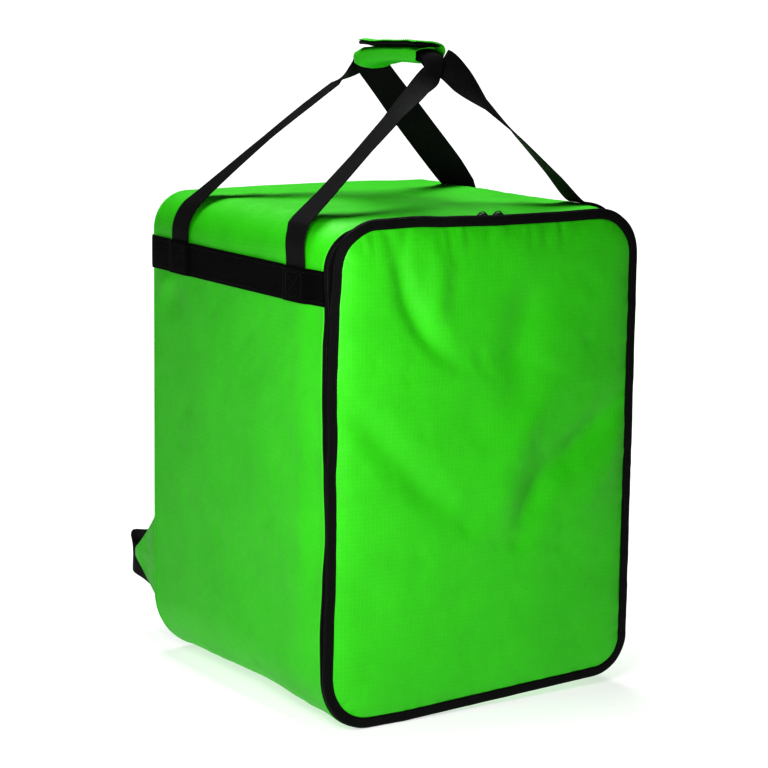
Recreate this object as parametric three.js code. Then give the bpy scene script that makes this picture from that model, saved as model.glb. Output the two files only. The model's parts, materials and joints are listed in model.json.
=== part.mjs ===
// Insulated delivery backpack: a padded box bag with a bound and zipped front door, a webbing band
// round its upper part, two carrying handles held together by a grip wrap, and two padded shoulder
// straps on the back. Millimetres, +Z up. The door faces -Y and the shoulder straps are on +Y.
// The origin is on the floor, under the middle of the bag.
import * as THREE from 'three';

// Overall size of the padded wrap, which is the strip that makes the top, the sides and the base
const BAG_WIDTH = 419;
const BAG_HEIGHT = 565;
const WRAP_DEPTH = 377;
const WRAP_CENTRE_Y = -2;
const WRAP_WALL = 8;
const SHOULDER_RADIUS = 48;
const BASE_RADIUS = 76;
const SIDE_SWELL = 2;
const TOP_CROWN = 3;
const BASE_HITCH = 15;
const HITCH_START_X = -100;
const HITCH_DEPTH = 170;

// Clearance between pieces that touch
const GAP = 0.35;

// Back panel
const BACK_THICKNESS = 12;
const BACK_SWELL = 3;

// Front door, its binding and the zip tape behind it
const ZIP_TAPE_WIDTH = 24;
const ZIP_TAPE_THICKNESS = 2.4;
const BINDING_WIDTH = 12;
const BINDING_DEPTH = 6;
const BINDING_WALL = 1.3;
const BINDING_BACK_LEG = 9;
const DOOR_SWELL = 10;
const DOOR_FOLD_DEPTH = 5;
const DOOR_TOP_RISE = 2;
const DOOR_BASE_LIFT = 1;
const DOOR_CORNERS = { bottomLeft: 62, bottomRight: 46, topRight: 60, topLeft: 84 };
const SLIDER_LENGTH = 13;
const SLIDER_DEPTH = 8;
const SLIDER_HEIGHT = 5.5;
const SLIDER_PLACES = { left: -1, right: 20 };

// Webbing
const WEBBING_WIDTH = 38;
const WEBBING_THICKNESS = 1.8;
const BAND_TOP = 510;
const BAND_WIDTH = 36;
const HANDLE_FRONT_Y = -142;
const HANDLE_BACK_Y = 120;
const HANDLE_TUCK = 32;
const HANDLE_STANDOFF = 10;

// Grip wrap on the two handles
const GRIP_LENGTH = 121;
const GRIP_CENTRE_Y = -12;
const GRIP_HEIGHT = 726;
const GRIP_HALF_WIDTH = 21.5;
const GRIP_HALF_RISE = 10.5;
const GRIP_WALL = 2.6;
const FASTENER_THICKNESS = 1.4;
const FLAP_LIFT = 4;
const FLAP_SKEW = 8;
const HANDLE_CUP = 42;
const HANDLE_STACK = 3.5;
const MOUTH_DROP = 15;
const MOUTH_REACH = { outer: 17, inner: 8 };

// Shoulder straps, their adjusting webbing and the wings that hold it
const PAD_WIDTH = 66;
const PAD_THICKNESS = 14;
const PAD_LENGTH_DOWN = 255;
const PAD_TOP_X = 92;
const PAD_LOW_X = 136;
const PAD_BOW = 64;
const BUCKLE_WIDTH = 50;
const BUCKLE_HEIGHT = 34;
const BUCKLE_THICKNESS = 4;
const BUCKLE_BAR = 5;
const WING_REACH = 82;
const WING_THICKNESS = 4;
const WING_BASE_LOW = 64;
const WING_BASE_HIGH = 176;
const WING_TIP_HEIGHT = 100;
const WING_SEAM_X = 200;
const WING_TIP_X = 187;
const TAIL_LENGTH = 70;

// Mesh fineness
const CORNER_STEPS = 5;
const SIDE_STEPS = 8;
const TOP_STEPS = 9;
const WRAP_STEPS = 11;

// Sections of the wrap from front rim to back rim. Radii are shares of the two corner radii, and
// inset is a share of the wall that the outline draws in by.
const WRAP_SECTIONS = [
  { depth: 0.00, shoulder: 0.96, base: 0.82, inset: 0.05 },
  { depth: 0.13, shoulder: 0.88, base: 0.95, inset: 0.00 },
  { depth: 0.50, shoulder: 1.02, base: 1.12, inset: 0.00 },
  { depth: 0.85, shoulder: 0.96, base: 1.05, inset: 0.00 },
  { depth: 1.00, shoulder: 0.92, base: 1.00, inset: 0.05 },
];

// Folds of the wrap. Places are shares of half the width, half the depth and the height, seen on
// the named face; width and depth are shares of the wall, and a negative depth stands proud.
const WRAP_FOLDS = [
  { face: 'top', fromAcross: -0.88, fromAlong: -0.80, toAcross: -0.30, toAlong: -0.44, width: 2.4, depth: 0.45 },
  { face: 'top', fromAcross: -0.30, fromAlong: -0.44, toAcross: 0.22, toAlong: -0.06, width: 2.2, depth: 0.35 },
  { face: 'top', fromAcross: 0.30, fromAlong: 0.02, toAcross: 0.50, toAlong: 0.32, width: 4.0, depth: -0.50 },
  { face: 'top', fromAcross: -0.80, fromAlong: 0.64, toAcross: -0.05, toAlong: 0.90, width: 3.0, depth: 0.40 },
  { face: 'left', fromAcross: 0.92, fromAlong: 0.72, toAcross: 0.60, toAlong: 0.82, width: 2.2, depth: 0.35 },
  { face: 'left', fromAcross: -0.70, fromAlong: 0.18, toAcross: 0.10, toAlong: 0.30, width: 4.0, depth: 0.25 },
];

// Folds of the door. Across is a share of half the width and up a share of the height; width is a
// share of the binding's width and depth a share of the fold depth. A negative depth is a ridge.
const DOOR_FOLDS = [
  { fromAcross: -0.62, fromUp: 0.950, toAcross: -0.60, toUp: 0.870, width: 1.3, depth: 0.9 },
  { fromAcross: -0.60, fromUp: 0.870, toAcross: -0.38, toUp: 0.730, width: 1.5, depth: 0.8 },
  { fromAcross: -0.49, fromUp: 0.950, toAcross: -0.41, toUp: 0.890, width: 1.3, depth: -0.7 },
  { fromAcross: -0.41, fromUp: 0.890, toAcross: -0.46, toUp: 0.810, width: 1.3, depth: -0.6 },
  { fromAcross: -0.85, fromUp: 0.620, toAcross: -0.56, toUp: 0.480, width: 1.8, depth: 0.7 },
  { fromAcross: -0.56, fromUp: 0.480, toAcross: -0.30, toUp: 0.390, width: 1.8, depth: 0.5 },
  { fromAcross: 0.90, fromUp: 0.630, toAcross: 0.37, toUp: 0.535, width: 1.5, depth: 1.0 },
  { fromAcross: 0.37, fromUp: 0.535, toAcross: 0.15, toUp: 0.420, width: 1.6, depth: 0.8 },
  { fromAcross: 0.88, fromUp: 0.600, toAcross: 0.63, toUp: 0.500, width: 1.5, depth: -0.7 },
  { fromAcross: 0.63, fromUp: 0.500, toAcross: 0.37, toUp: 0.470, width: 1.6, depth: -0.6 },
  { fromAcross: 0.02, fromUp: 0.755, toAcross: 0.25, toUp: 0.640, width: 1.8, depth: 0.6 },
  { fromAcross: 0.21, fromUp: 0.790, toAcross: 0.47, toUp: 0.658, width: 1.5, depth: -0.5 },
  { fromAcross: 0.47, fromUp: 0.658, toAcross: 0.12, toUp: 0.545, width: 1.6, depth: -0.5 },
  { fromAcross: 0.12, fromUp: 0.545, toAcross: -0.03, toUp: 0.377, width: 1.6, depth: -0.5 },
];

// How each handle leg runs. It lifts off at an angle up the shoulder curve, or after a run on the flat
// top as a share of its width, and stands off there by a share of the stand-off. It sags below the
// straight line by a share of its width. At the grip's mouth its place across and its drop are shares
// of the grip's half width and of the mouth's drop, with a lean and a cup, and it twists on the way.
const HANDLE_LEGS = {
  front_left: {
    lift: 49, stand: 1, run: 0, sag: 0.02, across: 0.2, drop: 1.6, lean: 0.1, cup: 5, twists: [3, -3, -6, -2, 20, 92],
  },
  back_left: {
    lift: 55, stand: 0.4, run: 0, sag: -0.1, across: 0.45, drop: 0.9, lean: 0.5, cup: 5, twists: [-2, -8, -12, -14, -26, -84],
  },
  front_right: {
    lift: 90, stand: 0.4, run: 0.22, sag: -0.08, across: 0.95, drop: 0.7, lean: 1, cup: 8, twists: [2, 10, 18, 34, 74, 88],
  },
  back_right: {
    lift: 68, stand: 0.8, run: 0, sag: 0.02, across: 0.6, drop: 1.1, lean: 0.6, cup: 8, twists: [-30, -62, -74, -80, -84, -88],
  },
};
const LEG_SHARES = [0, 0.2, 0.45, 0.7, 0.88, 1];

// Sections of the grip wrap along its length, front end to back end: rise and width are shares of
// its half rise and half width, drop is a share of the half rise that the middle hangs down by.
const GRIP_SECTIONS = [
  { along: 0.00, rise: 0.94, width: 1.02, drop: -0.15 },
  { along: 0.12, rise: 0.98, width: 1.00, drop: -0.20 },
  { along: 0.50, rise: 0.92, width: 1.00, drop: -0.10 },
  { along: 0.72, rise: 1.08, width: 1.00, drop: 0.15 },
  { along: 0.92, rise: 1.22, width: 1.02, drop: 0.50 },
  { along: 1.00, rise: 1.05, width: 0.98, drop: 0.60 },
];

// Shoulder strap from its top to its lower end: stand and wide are shares of the bow and the width
const PAD_SECTIONS = [
  { down: 0.00, stand: 0.00, wide: 0.80, thick: 0.45 },
  { down: 0.07, stand: 0.10, wide: 0.94, thick: 0.90 },
  { down: 0.25, stand: 0.68, wide: 1.00, thick: 1.00 },
  { down: 0.50, stand: 1.00, wide: 1.00, thick: 1.00 },
  { down: 0.75, stand: 0.92, wide: 0.94, thick: 1.00 },
  { down: 0.93, stand: 0.68, wide: 0.82, thick: 0.85 },
  { down: 1.00, stand: 0.585, wide: 0.70, thick: 0.26 },
];

// Colours and finish
const GREEN = { color: 0x2fc40f, roughness: 0.5, metalness: 0 };
const BLACK = { color: 0x121214, roughness: 0.8, metalness: 0 };
const PLASTIC = { color: 0x0c0c0e, roughness: 0.4, metalness: 0 };

const HALF_WIDTH = BAG_WIDTH / 2;
const HALF_DEPTH = WRAP_DEPTH / 2;
const WRAP_FRONT = WRAP_CENTRE_Y - HALF_DEPTH;
const WRAP_BACK = WRAP_CENTRE_Y + HALF_DEPTH;
const ZIP_BACK = WRAP_FRONT - GAP;
const ZIP_FRONT = ZIP_BACK - ZIP_TAPE_THICKNESS;
const BINDING_BACK = ZIP_FRONT - GAP;
const BINDING_FRONT = BINDING_BACK - BINDING_DEPTH;
const BACK_SEAM = WRAP_BACK + GAP;
const BACK_FACE = BACK_SEAM + BACK_THICKNESS;
const WEBBING_LIFT = GAP + WEBBING_THICKNESS / 2;
const UP = new THREE.Vector3(0, 0, 1);
const BACKWARD = new THREE.Vector3(0, 1, 0);

const degrees = (angle) => angle * Math.PI / 180;
const point = (x, y, z) => new THREE.Vector3(x, y, z);
const mix = (a, b, share) => a + (b - a) * share;
const clamp = (value, low, high) => Math.min(Math.max(value, low), high);
const smooth = (share) => share * share * (3 - 2 * share);

// Value of a named column at a place along a table, eased between its rows
function readTable(rows, key, at, column) {
  if (at <= rows[0][key]) return rows[0][column];
  for (let i = 1; i < rows.length; i++) {
    if (at <= rows[i][key]) {
      const share = (at - rows[i - 1][key]) / (rows[i][key] - rows[i - 1][key]);
      return mix(rows[i - 1][column], rows[i][column], smooth(share));
    }
  }
  return rows[rows.length - 1][column];
}

// Depth of the folds at a place on a face: each is a dip along a line, fading to both its ends
function foldDepth(folds, across, up, acrossSize, upSize, widthUnit) {
  let depth = 0;
  for (const fold of folds) {
    const [ax, ay, bx, by] = fold;
    const dx = (bx - ax) * acrossSize;
    const dy = (by - ay) * upSize;
    const px = (across - ax) * acrossSize;
    const py = (up - ay) * upSize;
    const along = (px * dx + py * dy) / (dx * dx + dy * dy);
    const near = clamp(along, 0, 1);
    const away = Math.hypot(px - near * dx, py - near * dy) / (fold.width * widthUnit);
    depth += fold.depth * Math.exp(-away * away);
  }
  return depth;
}

function foldLines(rows, upStart, upEnd) {
  return rows.map((row) => Object.assign(
    [row.fromAcross, row[upStart], row.toAcross, row[upEnd]], { width: row.width, depth: row.depth }));
}

// Closed mesh from rings of points. Each ring joins the next, the last joins the first when looped,
// and open ends are closed by a fan, or by a strip between a flat ring's two long sides.
function skin(rings, { looped = false, startCap = 'strip', endCap = 'strip' } = {}) {
  const size = rings[0].length;
  const places = rings.flat().flatMap((p) => [p.x, p.y, p.z]);
  const faces = [];
  const joins = looped ? rings.length : rings.length - 1;
  for (let r = 0; r < joins; r++) {
    const here = r * size;
    const next = ((r + 1) % rings.length) * size;
    for (let i = 0; i < size; i++) {
      const j = (i + 1) % size;
      faces.push(here + i, here + j, next + j, here + i, next + j, next + i);
    }
  }
  const closeEnd = (ring, start, style, first) => {
    const add = (a, b, c) => (first ? faces.push(a, c, b) : faces.push(a, b, c));
    if (style === 'fan') {
      const middle = ring.reduce((sum, p) => sum.add(p), point(0, 0, 0)).divideScalar(size);
      const hub = places.length / 3;
      places.push(middle.x, middle.y, middle.z);
      for (let i = 0; i < size; i++) add(hub, start + i, start + (i + 1) % size);
      return;
    }
    for (let i = 0; i < size / 2 - 1; i++) {
      const far = size - 1 - i;
      add(start + i, start + i + 1, start + far - 1);
      add(start + i, start + far - 1, start + far);
    }
  };
  if (!looped) {
    closeEnd(rings[0], 0, startCap, true);
    closeEnd(rings[rings.length - 1], (rings.length - 1) * size, endCap, false);
  }
  const geometry = new THREE.BufferGeometry();
  geometry.setAttribute('position', new THREE.Float32BufferAttribute(places, 3));
  geometry.setIndex(signedVolume(places, faces) < 0 ? faces.reverse() : faces);
  geometry.computeVertexNormals();
  return geometry;
}

function signedVolume(places, faces) {
  const corner = (i) => point(places[3 * i], places[3 * i + 1], places[3 * i + 2]);
  let volume = 0;
  for (let f = 0; f < faces.length; f += 3) {
    volume += corner(faces[f]).dot(corner(faces[f + 1]).cross(corner(faces[f + 2])));
  }
  return volume;
}

// Rounded rectangle in the XZ plane as points with outward normals, from the left end of the base
// round to the right. It is drawn in by inset, and its corner arcs keep at least a tight radius.
function outline({ halfWidth, low, high, corners, inset = 0 }) {
  const tight = 1.5;
  const radius = (name) => Math.max(corners[name] - inset, tight);
  const right = halfWidth - inset;
  const base = low + inset;
  const top = high - inset;
  const places = [];
  const straight = (fromX, fromZ, toX, toZ, steps, nx, nz) => {
    for (let i = 0; i < steps; i++) {
      const share = i / steps;
      places.push({ x: mix(fromX, toX, share), z: mix(fromZ, toZ, share), nx, nz });
    }
  };
  const arc = (name, centreX, centreZ, startAngle) => {
    for (let i = 0; i < CORNER_STEPS; i++) {
      const angle = degrees(startAngle + 90 * i / CORNER_STEPS);
      const nx = Math.cos(angle);
      const nz = Math.sin(angle);
      places.push({ x: centreX + radius(name) * nx, z: centreZ + radius(name) * nz, nx, nz });
    }
  };
  const bl = radius('bottomLeft');
  const br = radius('bottomRight');
  const tr = radius('topRight');
  const tl = radius('topLeft');
  straight(-right + bl, base, right - br, base, TOP_STEPS, 0, -1);
  arc('bottomRight', right - br, base + br, -90);
  straight(right, base + br, right, top - tr, SIDE_STEPS, 1, 0);
  arc('topRight', right - tr, top - tr, 0);
  straight(right - tr, top, -right + tl, top, TOP_STEPS, 0, 1);
  arc('topLeft', -right + tl, top - tl, 90);
  straight(-right, top - tl, -right, base + bl, SIDE_STEPS, -1, 0);
  arc('bottomLeft', -right + bl, base + bl, 180);
  return places;
}

// The wrap's own section at a place along the depth
function wrapSection(y) {
  const depth = clamp((y - WRAP_FRONT) / WRAP_DEPTH, 0, 1);
  const column = (name) => readTable(WRAP_SECTIONS, 'depth', depth, name);
  const shoulder = SHOULDER_RADIUS * column('shoulder');
  const base = BASE_RADIUS * column('base');
  return {
    halfWidth: HALF_WIDTH - WRAP_WALL * column('inset'),
    low: 0,
    high: BAG_HEIGHT - TOP_CROWN,
    corners: { bottomLeft: base, bottomRight: base, topRight: shoulder, topLeft: shoulder },
  };
}

// The front of the base is hitched up toward the right: how far a place is raised by it
function baseHitch(x, y, z) {
  const across = clamp((x - HITCH_START_X) / (HALF_WIDTH - HITCH_START_X), 0, 1);
  const back = smooth(1 - clamp((y - WRAP_FRONT) / HITCH_DEPTH, 0, 1));
  return BASE_HITCH * across * back * (1 - clamp(z / BAG_HEIGHT, 0, 1)) ** 2;
}

// How far the padding swells the wrap outwards at a place: fullest in the middle of each face
function wrapSwell(x, y, z, nx, nz) {
  const along = Math.sin(Math.PI * clamp((y - WRAP_FRONT) / WRAP_DEPTH, 0, 1));
  const side = SIDE_SWELL * Math.sin(Math.PI * clamp(z / BAG_HEIGHT, 0, 1)) * nx * nx;
  const crown = nz > 0 ? TOP_CROWN * Math.cos(Math.PI * clamp(x / BAG_WIDTH, -0.5, 0.5)) * nz * nz : 0;
  return (side + crown) * along;
}

const TOP_FOLD_LINES = foldLines(WRAP_FOLDS.filter((row) => row.face === 'top'), 'fromAlong', 'toAlong');
const LEFT_FOLD_LINES = foldLines(WRAP_FOLDS.filter((row) => row.face === 'left'), 'fromAlong', 'toAlong');

function wrapFold(x, y, z, nx, nz) {
  const along = (y - WRAP_CENTRE_Y) / HALF_DEPTH;
  const rim = 1 - Math.pow(Math.abs(along), 8);
  if (nz > 0.5) {
    return rim * nz * foldDepth(TOP_FOLD_LINES, x / HALF_WIDTH, along, HALF_WIDTH, HALF_DEPTH, WRAP_WALL);
  }
  if (nx < -0.5) {
    const belowBand = clamp((BAND_TOP - BAND_WIDTH - z) / BAND_WIDTH, 0, 1);
    return rim * belowBand * -nx
      * foldDepth(LEFT_FOLD_LINES, along, z / BAG_HEIGHT, HALF_DEPTH, BAG_HEIGHT, WRAP_WALL);
  }
  return 0;
}

function wrapRing(y, inset, folded) {
  return outline({ ...wrapSection(y), inset }).map(({ x, z, nx, nz }) => {
    let out = wrapSwell(x, y, z, nx, nz);
    if (folded) out -= WRAP_WALL * wrapFold(x, y, z, nx, nz);
    return point(x + nx * out, y, z + nz * out + baseHitch(x, y, z));
  });
}

function wrapGeometry() {
  const innerSteps = Math.round(WRAP_STEPS / 3);
  const outer = [];
  const inner = [];
  for (let i = 0; i <= WRAP_STEPS; i++) outer.push(wrapRing(mix(WRAP_FRONT, WRAP_BACK, i / WRAP_STEPS), 0, true));
  for (let i = 0; i <= innerSteps; i++) {
    inner.push(wrapRing(mix(WRAP_BACK, WRAP_FRONT, i / innerSteps), WRAP_WALL, false));
  }
  return skin([...outer, ...inner], { looped: true });
}

// Point on the wrap's side at a height, or past the shoulder at an angle up its curve
function sidePlace(side, y, z, lift) {
  const { halfWidth, high, corners } = wrapSection(y);
  const radius = corners.topLeft;
  const centreZ = high - radius;
  const angle = z > centreZ ? Math.asin(clamp((z - centreZ) / radius, 0, 1)) : 0;
  const nx = Math.cos(angle);
  const nz = Math.sin(angle);
  const x = halfWidth - radius + radius * nx;
  const out = lift + wrapSwell(x, y, z, nx, nz);
  return point(side * (x + out * nx), y, z + out * nz);
}

function shoulderPlace(side, y, angle, lift) {
  const { halfWidth, high, corners } = wrapSection(y);
  const radius = corners.topLeft;
  const nx = Math.cos(degrees(angle));
  const nz = Math.sin(degrees(angle));
  const x = halfWidth - radius + radius * nx;
  const z = high - radius + radius * nz;
  const out = lift + wrapSwell(x, y, z, nx, nz);
  return point(side * (x + out * nx), y, z + out * nz);
}

// Back panel: a padded slab whose edge rolls over from the wrap's back rim
function backSwell(x, z) {
  const across = Math.cos(Math.PI * clamp(x / BAG_WIDTH, -0.5, 0.5));
  const up = Math.sin(Math.PI * clamp(z / BAG_HEIGHT, 0, 1));
  return BACK_SWELL * across * up;
}

function towardMiddle(ring, share) {
  const reach = (BAG_HEIGHT - BAG_WIDTH) / 2;
  return ring.map((p) => {
    const middleZ = BAG_HEIGHT / 2 + clamp(p.z - BAG_HEIGHT / 2, -reach, reach);
    return { ...p, x: mix(p.x, 0, share), z: mix(p.z, middleZ, share) };
  });
}

function backPanelGeometry() {
  const rollSteps = 3;
  const innerShares = [0.3, 0.6, 0.85];
  const section = wrapSection(WRAP_BACK);
  const rings = [];
  for (let i = 0; i <= rollSteps; i++) {
    const angle = degrees(90 * i / rollSteps);
    const inset = BACK_THICKNESS * (1 - Math.cos(angle));
    const y = BACK_SEAM + BACK_THICKNESS * Math.sin(angle);
    rings.push(outline({ ...section, inset }).map(({ x, z }) => point(x, y + backSwell(x, z) * Math.sin(angle), z)));
  }
  const flatRing = outline({ ...section, inset: BACK_THICKNESS });
  for (const share of innerShares) {
    rings.push(towardMiddle(flatRing, share).map(({ x, z }) => point(x, BACK_FACE + backSwell(x, z), z)));
  }
  return skin(rings, { startCap: 'fan', endCap: 'fan' });
}

// Ring whose profile, given as inward distances and places along Y, follows an outline
function ringGeometry(shape, profile) {
  const lanes = profile.map(([inset, y]) => outline({ ...shape, inset })
    .map(({ x, z }) => point(x, y, z + baseHitch(x, y, z))));
  const stations = lanes[0].map((_, i) => lanes.map((lane) => lane[i]));
  return skin(stations, { looped: true });
}

function zipTapeGeometry() {
  const shape = wrapSection(WRAP_FRONT);
  return ringGeometry(shape, [[0, ZIP_BACK], [0, ZIP_FRONT], [ZIP_TAPE_WIDTH, ZIP_FRONT], [ZIP_TAPE_WIDTH, ZIP_BACK]]);
}

const DOOR_SHAPE = {
  halfWidth: HALF_WIDTH,
  low: DOOR_BASE_LIFT,
  high: BAG_HEIGHT + DOOR_TOP_RISE,
  corners: DOOR_CORNERS,
};

function bindingGeometry() {
  const inFront = BINDING_FRONT + BINDING_WALL;
  const inBack = BINDING_BACK - BINDING_WALL;
  return ringGeometry(DOOR_SHAPE, [
    [0, BINDING_BACK], [0, BINDING_FRONT], [BINDING_WIDTH, BINDING_FRONT], [BINDING_WIDTH, inFront],
    [BINDING_WALL, inFront], [BINDING_WALL, inBack], [BINDING_BACK_LEG, inBack], [BINDING_BACK_LEG, BINDING_BACK],
  ]);
}

// Door: a flange that sits in the binding, then padding that swells and folds towards the middle
function doorGeometry() {
  const flangeFront = BINDING_FRONT + BINDING_WALL + GAP;
  const flangeBack = BINDING_BACK - BINDING_WALL - GAP;
  const edge = BINDING_WALL + GAP;
  const clear = BINDING_WIDTH + GAP;
  const lines = foldLines(DOOR_FOLDS, 'fromUp', 'toUp');
  const face = (x, z, fullness) => {
    const fold = foldDepth(lines, x / HALF_WIDTH, z / BAG_HEIGHT, HALF_WIDTH, BAG_HEIGHT, BINDING_WIDTH);
    return flangeFront - DOOR_SWELL * fullness + DOOR_FOLD_DEPTH * fold * fullness;
  };
  const ringAt = (inset) => outline({ ...DOOR_SHAPE, inset })
    .map((p) => ({ ...p, z: p.z + baseHitch(p.x, BINDING_FRONT, p.z) }));
  const rings = [ringAt(edge).map(({ x, z }) => point(x, flangeBack, z))];
  rings.push(ringAt(edge).map(({ x, z }) => point(x, flangeFront, z)));
  rings.push(ringAt(clear).map(({ x, z }) => point(x, flangeFront, z)));
  const rise = [[0, 0.25], [0.6, 0.62], [1.5, 0.85]];
  for (const [share, fullness] of rise) {
    rings.push(ringAt(clear + GAP + share * BINDING_WIDTH).map(({ x, z }) => point(x, face(x, z, fullness), z)));
  }
  const inner = ringAt(clear + rise[rise.length - 1][0] * BINDING_WIDTH);
  const innerSteps = 8;
  for (let i = 1; i <= innerSteps; i++) {
    const share = 0.94 * i / innerSteps;
    const fullness = mix(0.9, 1, share);
    rings.push(towardMiddle(inner, share).map(({ x, z }) => point(x, face(x, z, fullness), z)));
  }
  return skin(rings, { startCap: 'fan', endCap: 'fan' });
}

function sliderGeometry(centreX) {
  const seat = BAG_HEIGHT - TOP_CROWN + GAP;
  const centreY = BINDING_BACK + GAP + SLIDER_DEPTH / 2;
  const levels = [[0, 0.86], [0.25, 1], [0.7, 0.9], [1, 0.5]];
  const sides = 10;
  const rings = levels.map(([up, size]) => Array.from({ length: sides }, (_, i) => {
    const angle = 2 * Math.PI * i / sides;
    const square = 1 / Math.pow(Math.cos(angle) ** 4 + Math.sin(angle) ** 4, 0.25);
    return point(centreX + size * SLIDER_LENGTH / 2 * square * Math.cos(angle),
      centreY + size * SLIDER_DEPTH / 2 * square * Math.sin(angle), seat + up * SLIDER_HEIGHT);
  }));
  return skin(rings, { startCap: 'fan', endCap: 'fan' });
}

// Band round the left side, the back and the right side. It steps out over the ends of the handles.
function bandGeometry() {
  const low = BAND_TOP - BAND_WIDTH;
  const levels = [0, 0.33, 0.67, 1].map((share) => mix(low, BAND_TOP, share));
  const ramp = 7;
  const cover = WEBBING_WIDTH / 2 + 1;
  const feet = [HANDLE_FRONT_Y, HANDLE_BACK_Y];
  const stepOut = (y) => {
    const away = Math.min(...feet.map((foot) => Math.abs(y - foot))) - cover;
    return (WEBBING_THICKNESS + GAP) * (1 - clamp(away / ramp, 0, 1));
  };
  const sideStops = [WRAP_FRONT + GAP, WRAP_BACK];
  for (const foot of feet) sideStops.push(foot - cover - ramp, foot - cover, foot, foot + cover, foot + cover + ramp);
  const between = HANDLE_BACK_Y - HANDLE_FRONT_Y - 2 * (cover + ramp);
  const spans = Math.ceil(between / WEBBING_WIDTH);
  for (let i = 1; i < spans; i++) sideStops.push(HANDLE_FRONT_Y + cover + ramp + between * i / spans);
  sideStops.sort((a, b) => a - b);
  const stations = [];
  const addStation = (placeAt) => {
    const inner = levels.map((z) => placeAt(z, 0));
    const outer = levels.map((z) => placeAt(z, WEBBING_THICKNESS));
    stations.push([...inner, ...outer.reverse()]);
  };
  const addSide = (side, stops) => {
    for (const y of stops) addStation((z, out) => sidePlace(side, y, z, GAP + stepOut(y) + out));
  };
  const addCorner = (side, angles) => {
    for (const angle of angles) {
      addStation((z, out) => {
        const rim = sidePlace(side, WRAP_BACK, z, 0);
        const reach = BACK_THICKNESS + GAP + out;
        const centreX = Math.abs(rim.x) - BACK_THICKNESS;
        const x = side * (centreX + reach * Math.cos(degrees(angle)));
        return point(x, BACK_SEAM + reach * Math.sin(degrees(angle)) + backSwell(x, z) * Math.sin(degrees(angle)), z);
      });
    }
  };
  addSide(-1, sideStops);
  addCorner(-1, [22, 45, 68, 90]);
  for (const share of [-0.6, -0.3, 0, 0.3, 0.6]) {
    addStation((z, out) => {
      const x = share * HALF_WIDTH;
      return point(x, BACK_FACE + backSwell(x, z) + GAP + out, z);
    });
  }
  addCorner(1, [90, 68, 45, 22]);
  addSide(1, [...sideStops].reverse());
  return skin(stations);
}

// Ribbon through stations that give a place, the direction of the width, a cup angle and shares of
// the width and thickness. A sheared station keeps its direction where the path runs askew to it. The face side says which way the cupped edges bend away from.
function ribbonGeometry(stations, { width, thickness, face, pace, across = 4, edge = 1 }) {
  const path = new THREE.CatmullRomCurve3(stations.map((station) => station.place), false, 'centripetal');
  const shares = [];
  for (let k = 0; k < stations.length - 1; k++) {
    const count = Math.max(1, Math.round(stations[k].place.distanceTo(stations[k + 1].place) / pace));
    for (let i = 0; i < count; i++) shares.push(k + i / count);
  }
  shares.push(stations.length - 1);
  const rings = shares.map((at) => {
    const k = Math.min(Math.floor(at), stations.length - 2);
    const share = at - k;
    const a = stations[k];
    const b = stations[k + 1];
    const place = path.getPoint(at / (stations.length - 1));
    const tangent = path.getTangent(at / (stations.length - 1));
    const side = a.side.clone().lerp(b.side, share);
    if (!a.sheared) side.projectOnPlane(tangent);
    side.normalize();
    const normal = side.clone().cross(tangent).normalize().multiplyScalar(face);
    const cup = degrees(mix(a.cup ?? 0, b.cup ?? 0, share));
    const half = width * mix(a.wide ?? 1, b.wide ?? 1, share) / 2;
    const thick = thickness * mix(a.thick ?? 1, b.thick ?? 1, share) / 2;
    const top = [];
    const bottom = [];
    for (let i = 0; i <= across; i++) {
      const s = 2 * i / across - 1;
      const angle = s * cup;
      const reach = cup > 0.01 ? half * Math.sin(angle) / cup : s * half;
      const sink = cup > 0.01 ? half * (1 - Math.cos(angle)) / cup : 0;
      const middle = place.clone().addScaledVector(side, reach).addScaledVector(normal, -sink);
      const out = normal.clone().multiplyScalar(Math.cos(angle)).addScaledVector(side, Math.sin(angle));
      const local = thick * mix(edge, 1, 1 - s ** 4);
      top.push(middle.clone().addScaledVector(out, local));
      bottom.push(middle.clone().addScaledVector(out, -local));
    }
    return [...top, ...bottom.reverse()];
  });
  return skin(rings);
}

// Places of the grip: its middle height and the stacking of the two handles inside it
function gripAt(y) {
  const along = clamp((y - GRIP_CENTRE_Y) / GRIP_LENGTH + 0.5, 0, 1);
  const column = (name) => readTable(GRIP_SECTIONS, 'along', along, name);
  return {
    z: GRIP_HEIGHT - GRIP_HALF_RISE * column('drop'),
    halfWidth: GRIP_HALF_WIDTH * column('width'),
    halfRise: GRIP_HALF_RISE * column('rise'),
  };
}

// The left handle lies outside the right one in the grip, so it turns down further out
function mouthReach(side) {
  return side < 0 ? MOUTH_REACH.outer : MOUTH_REACH.inner;
}

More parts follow.
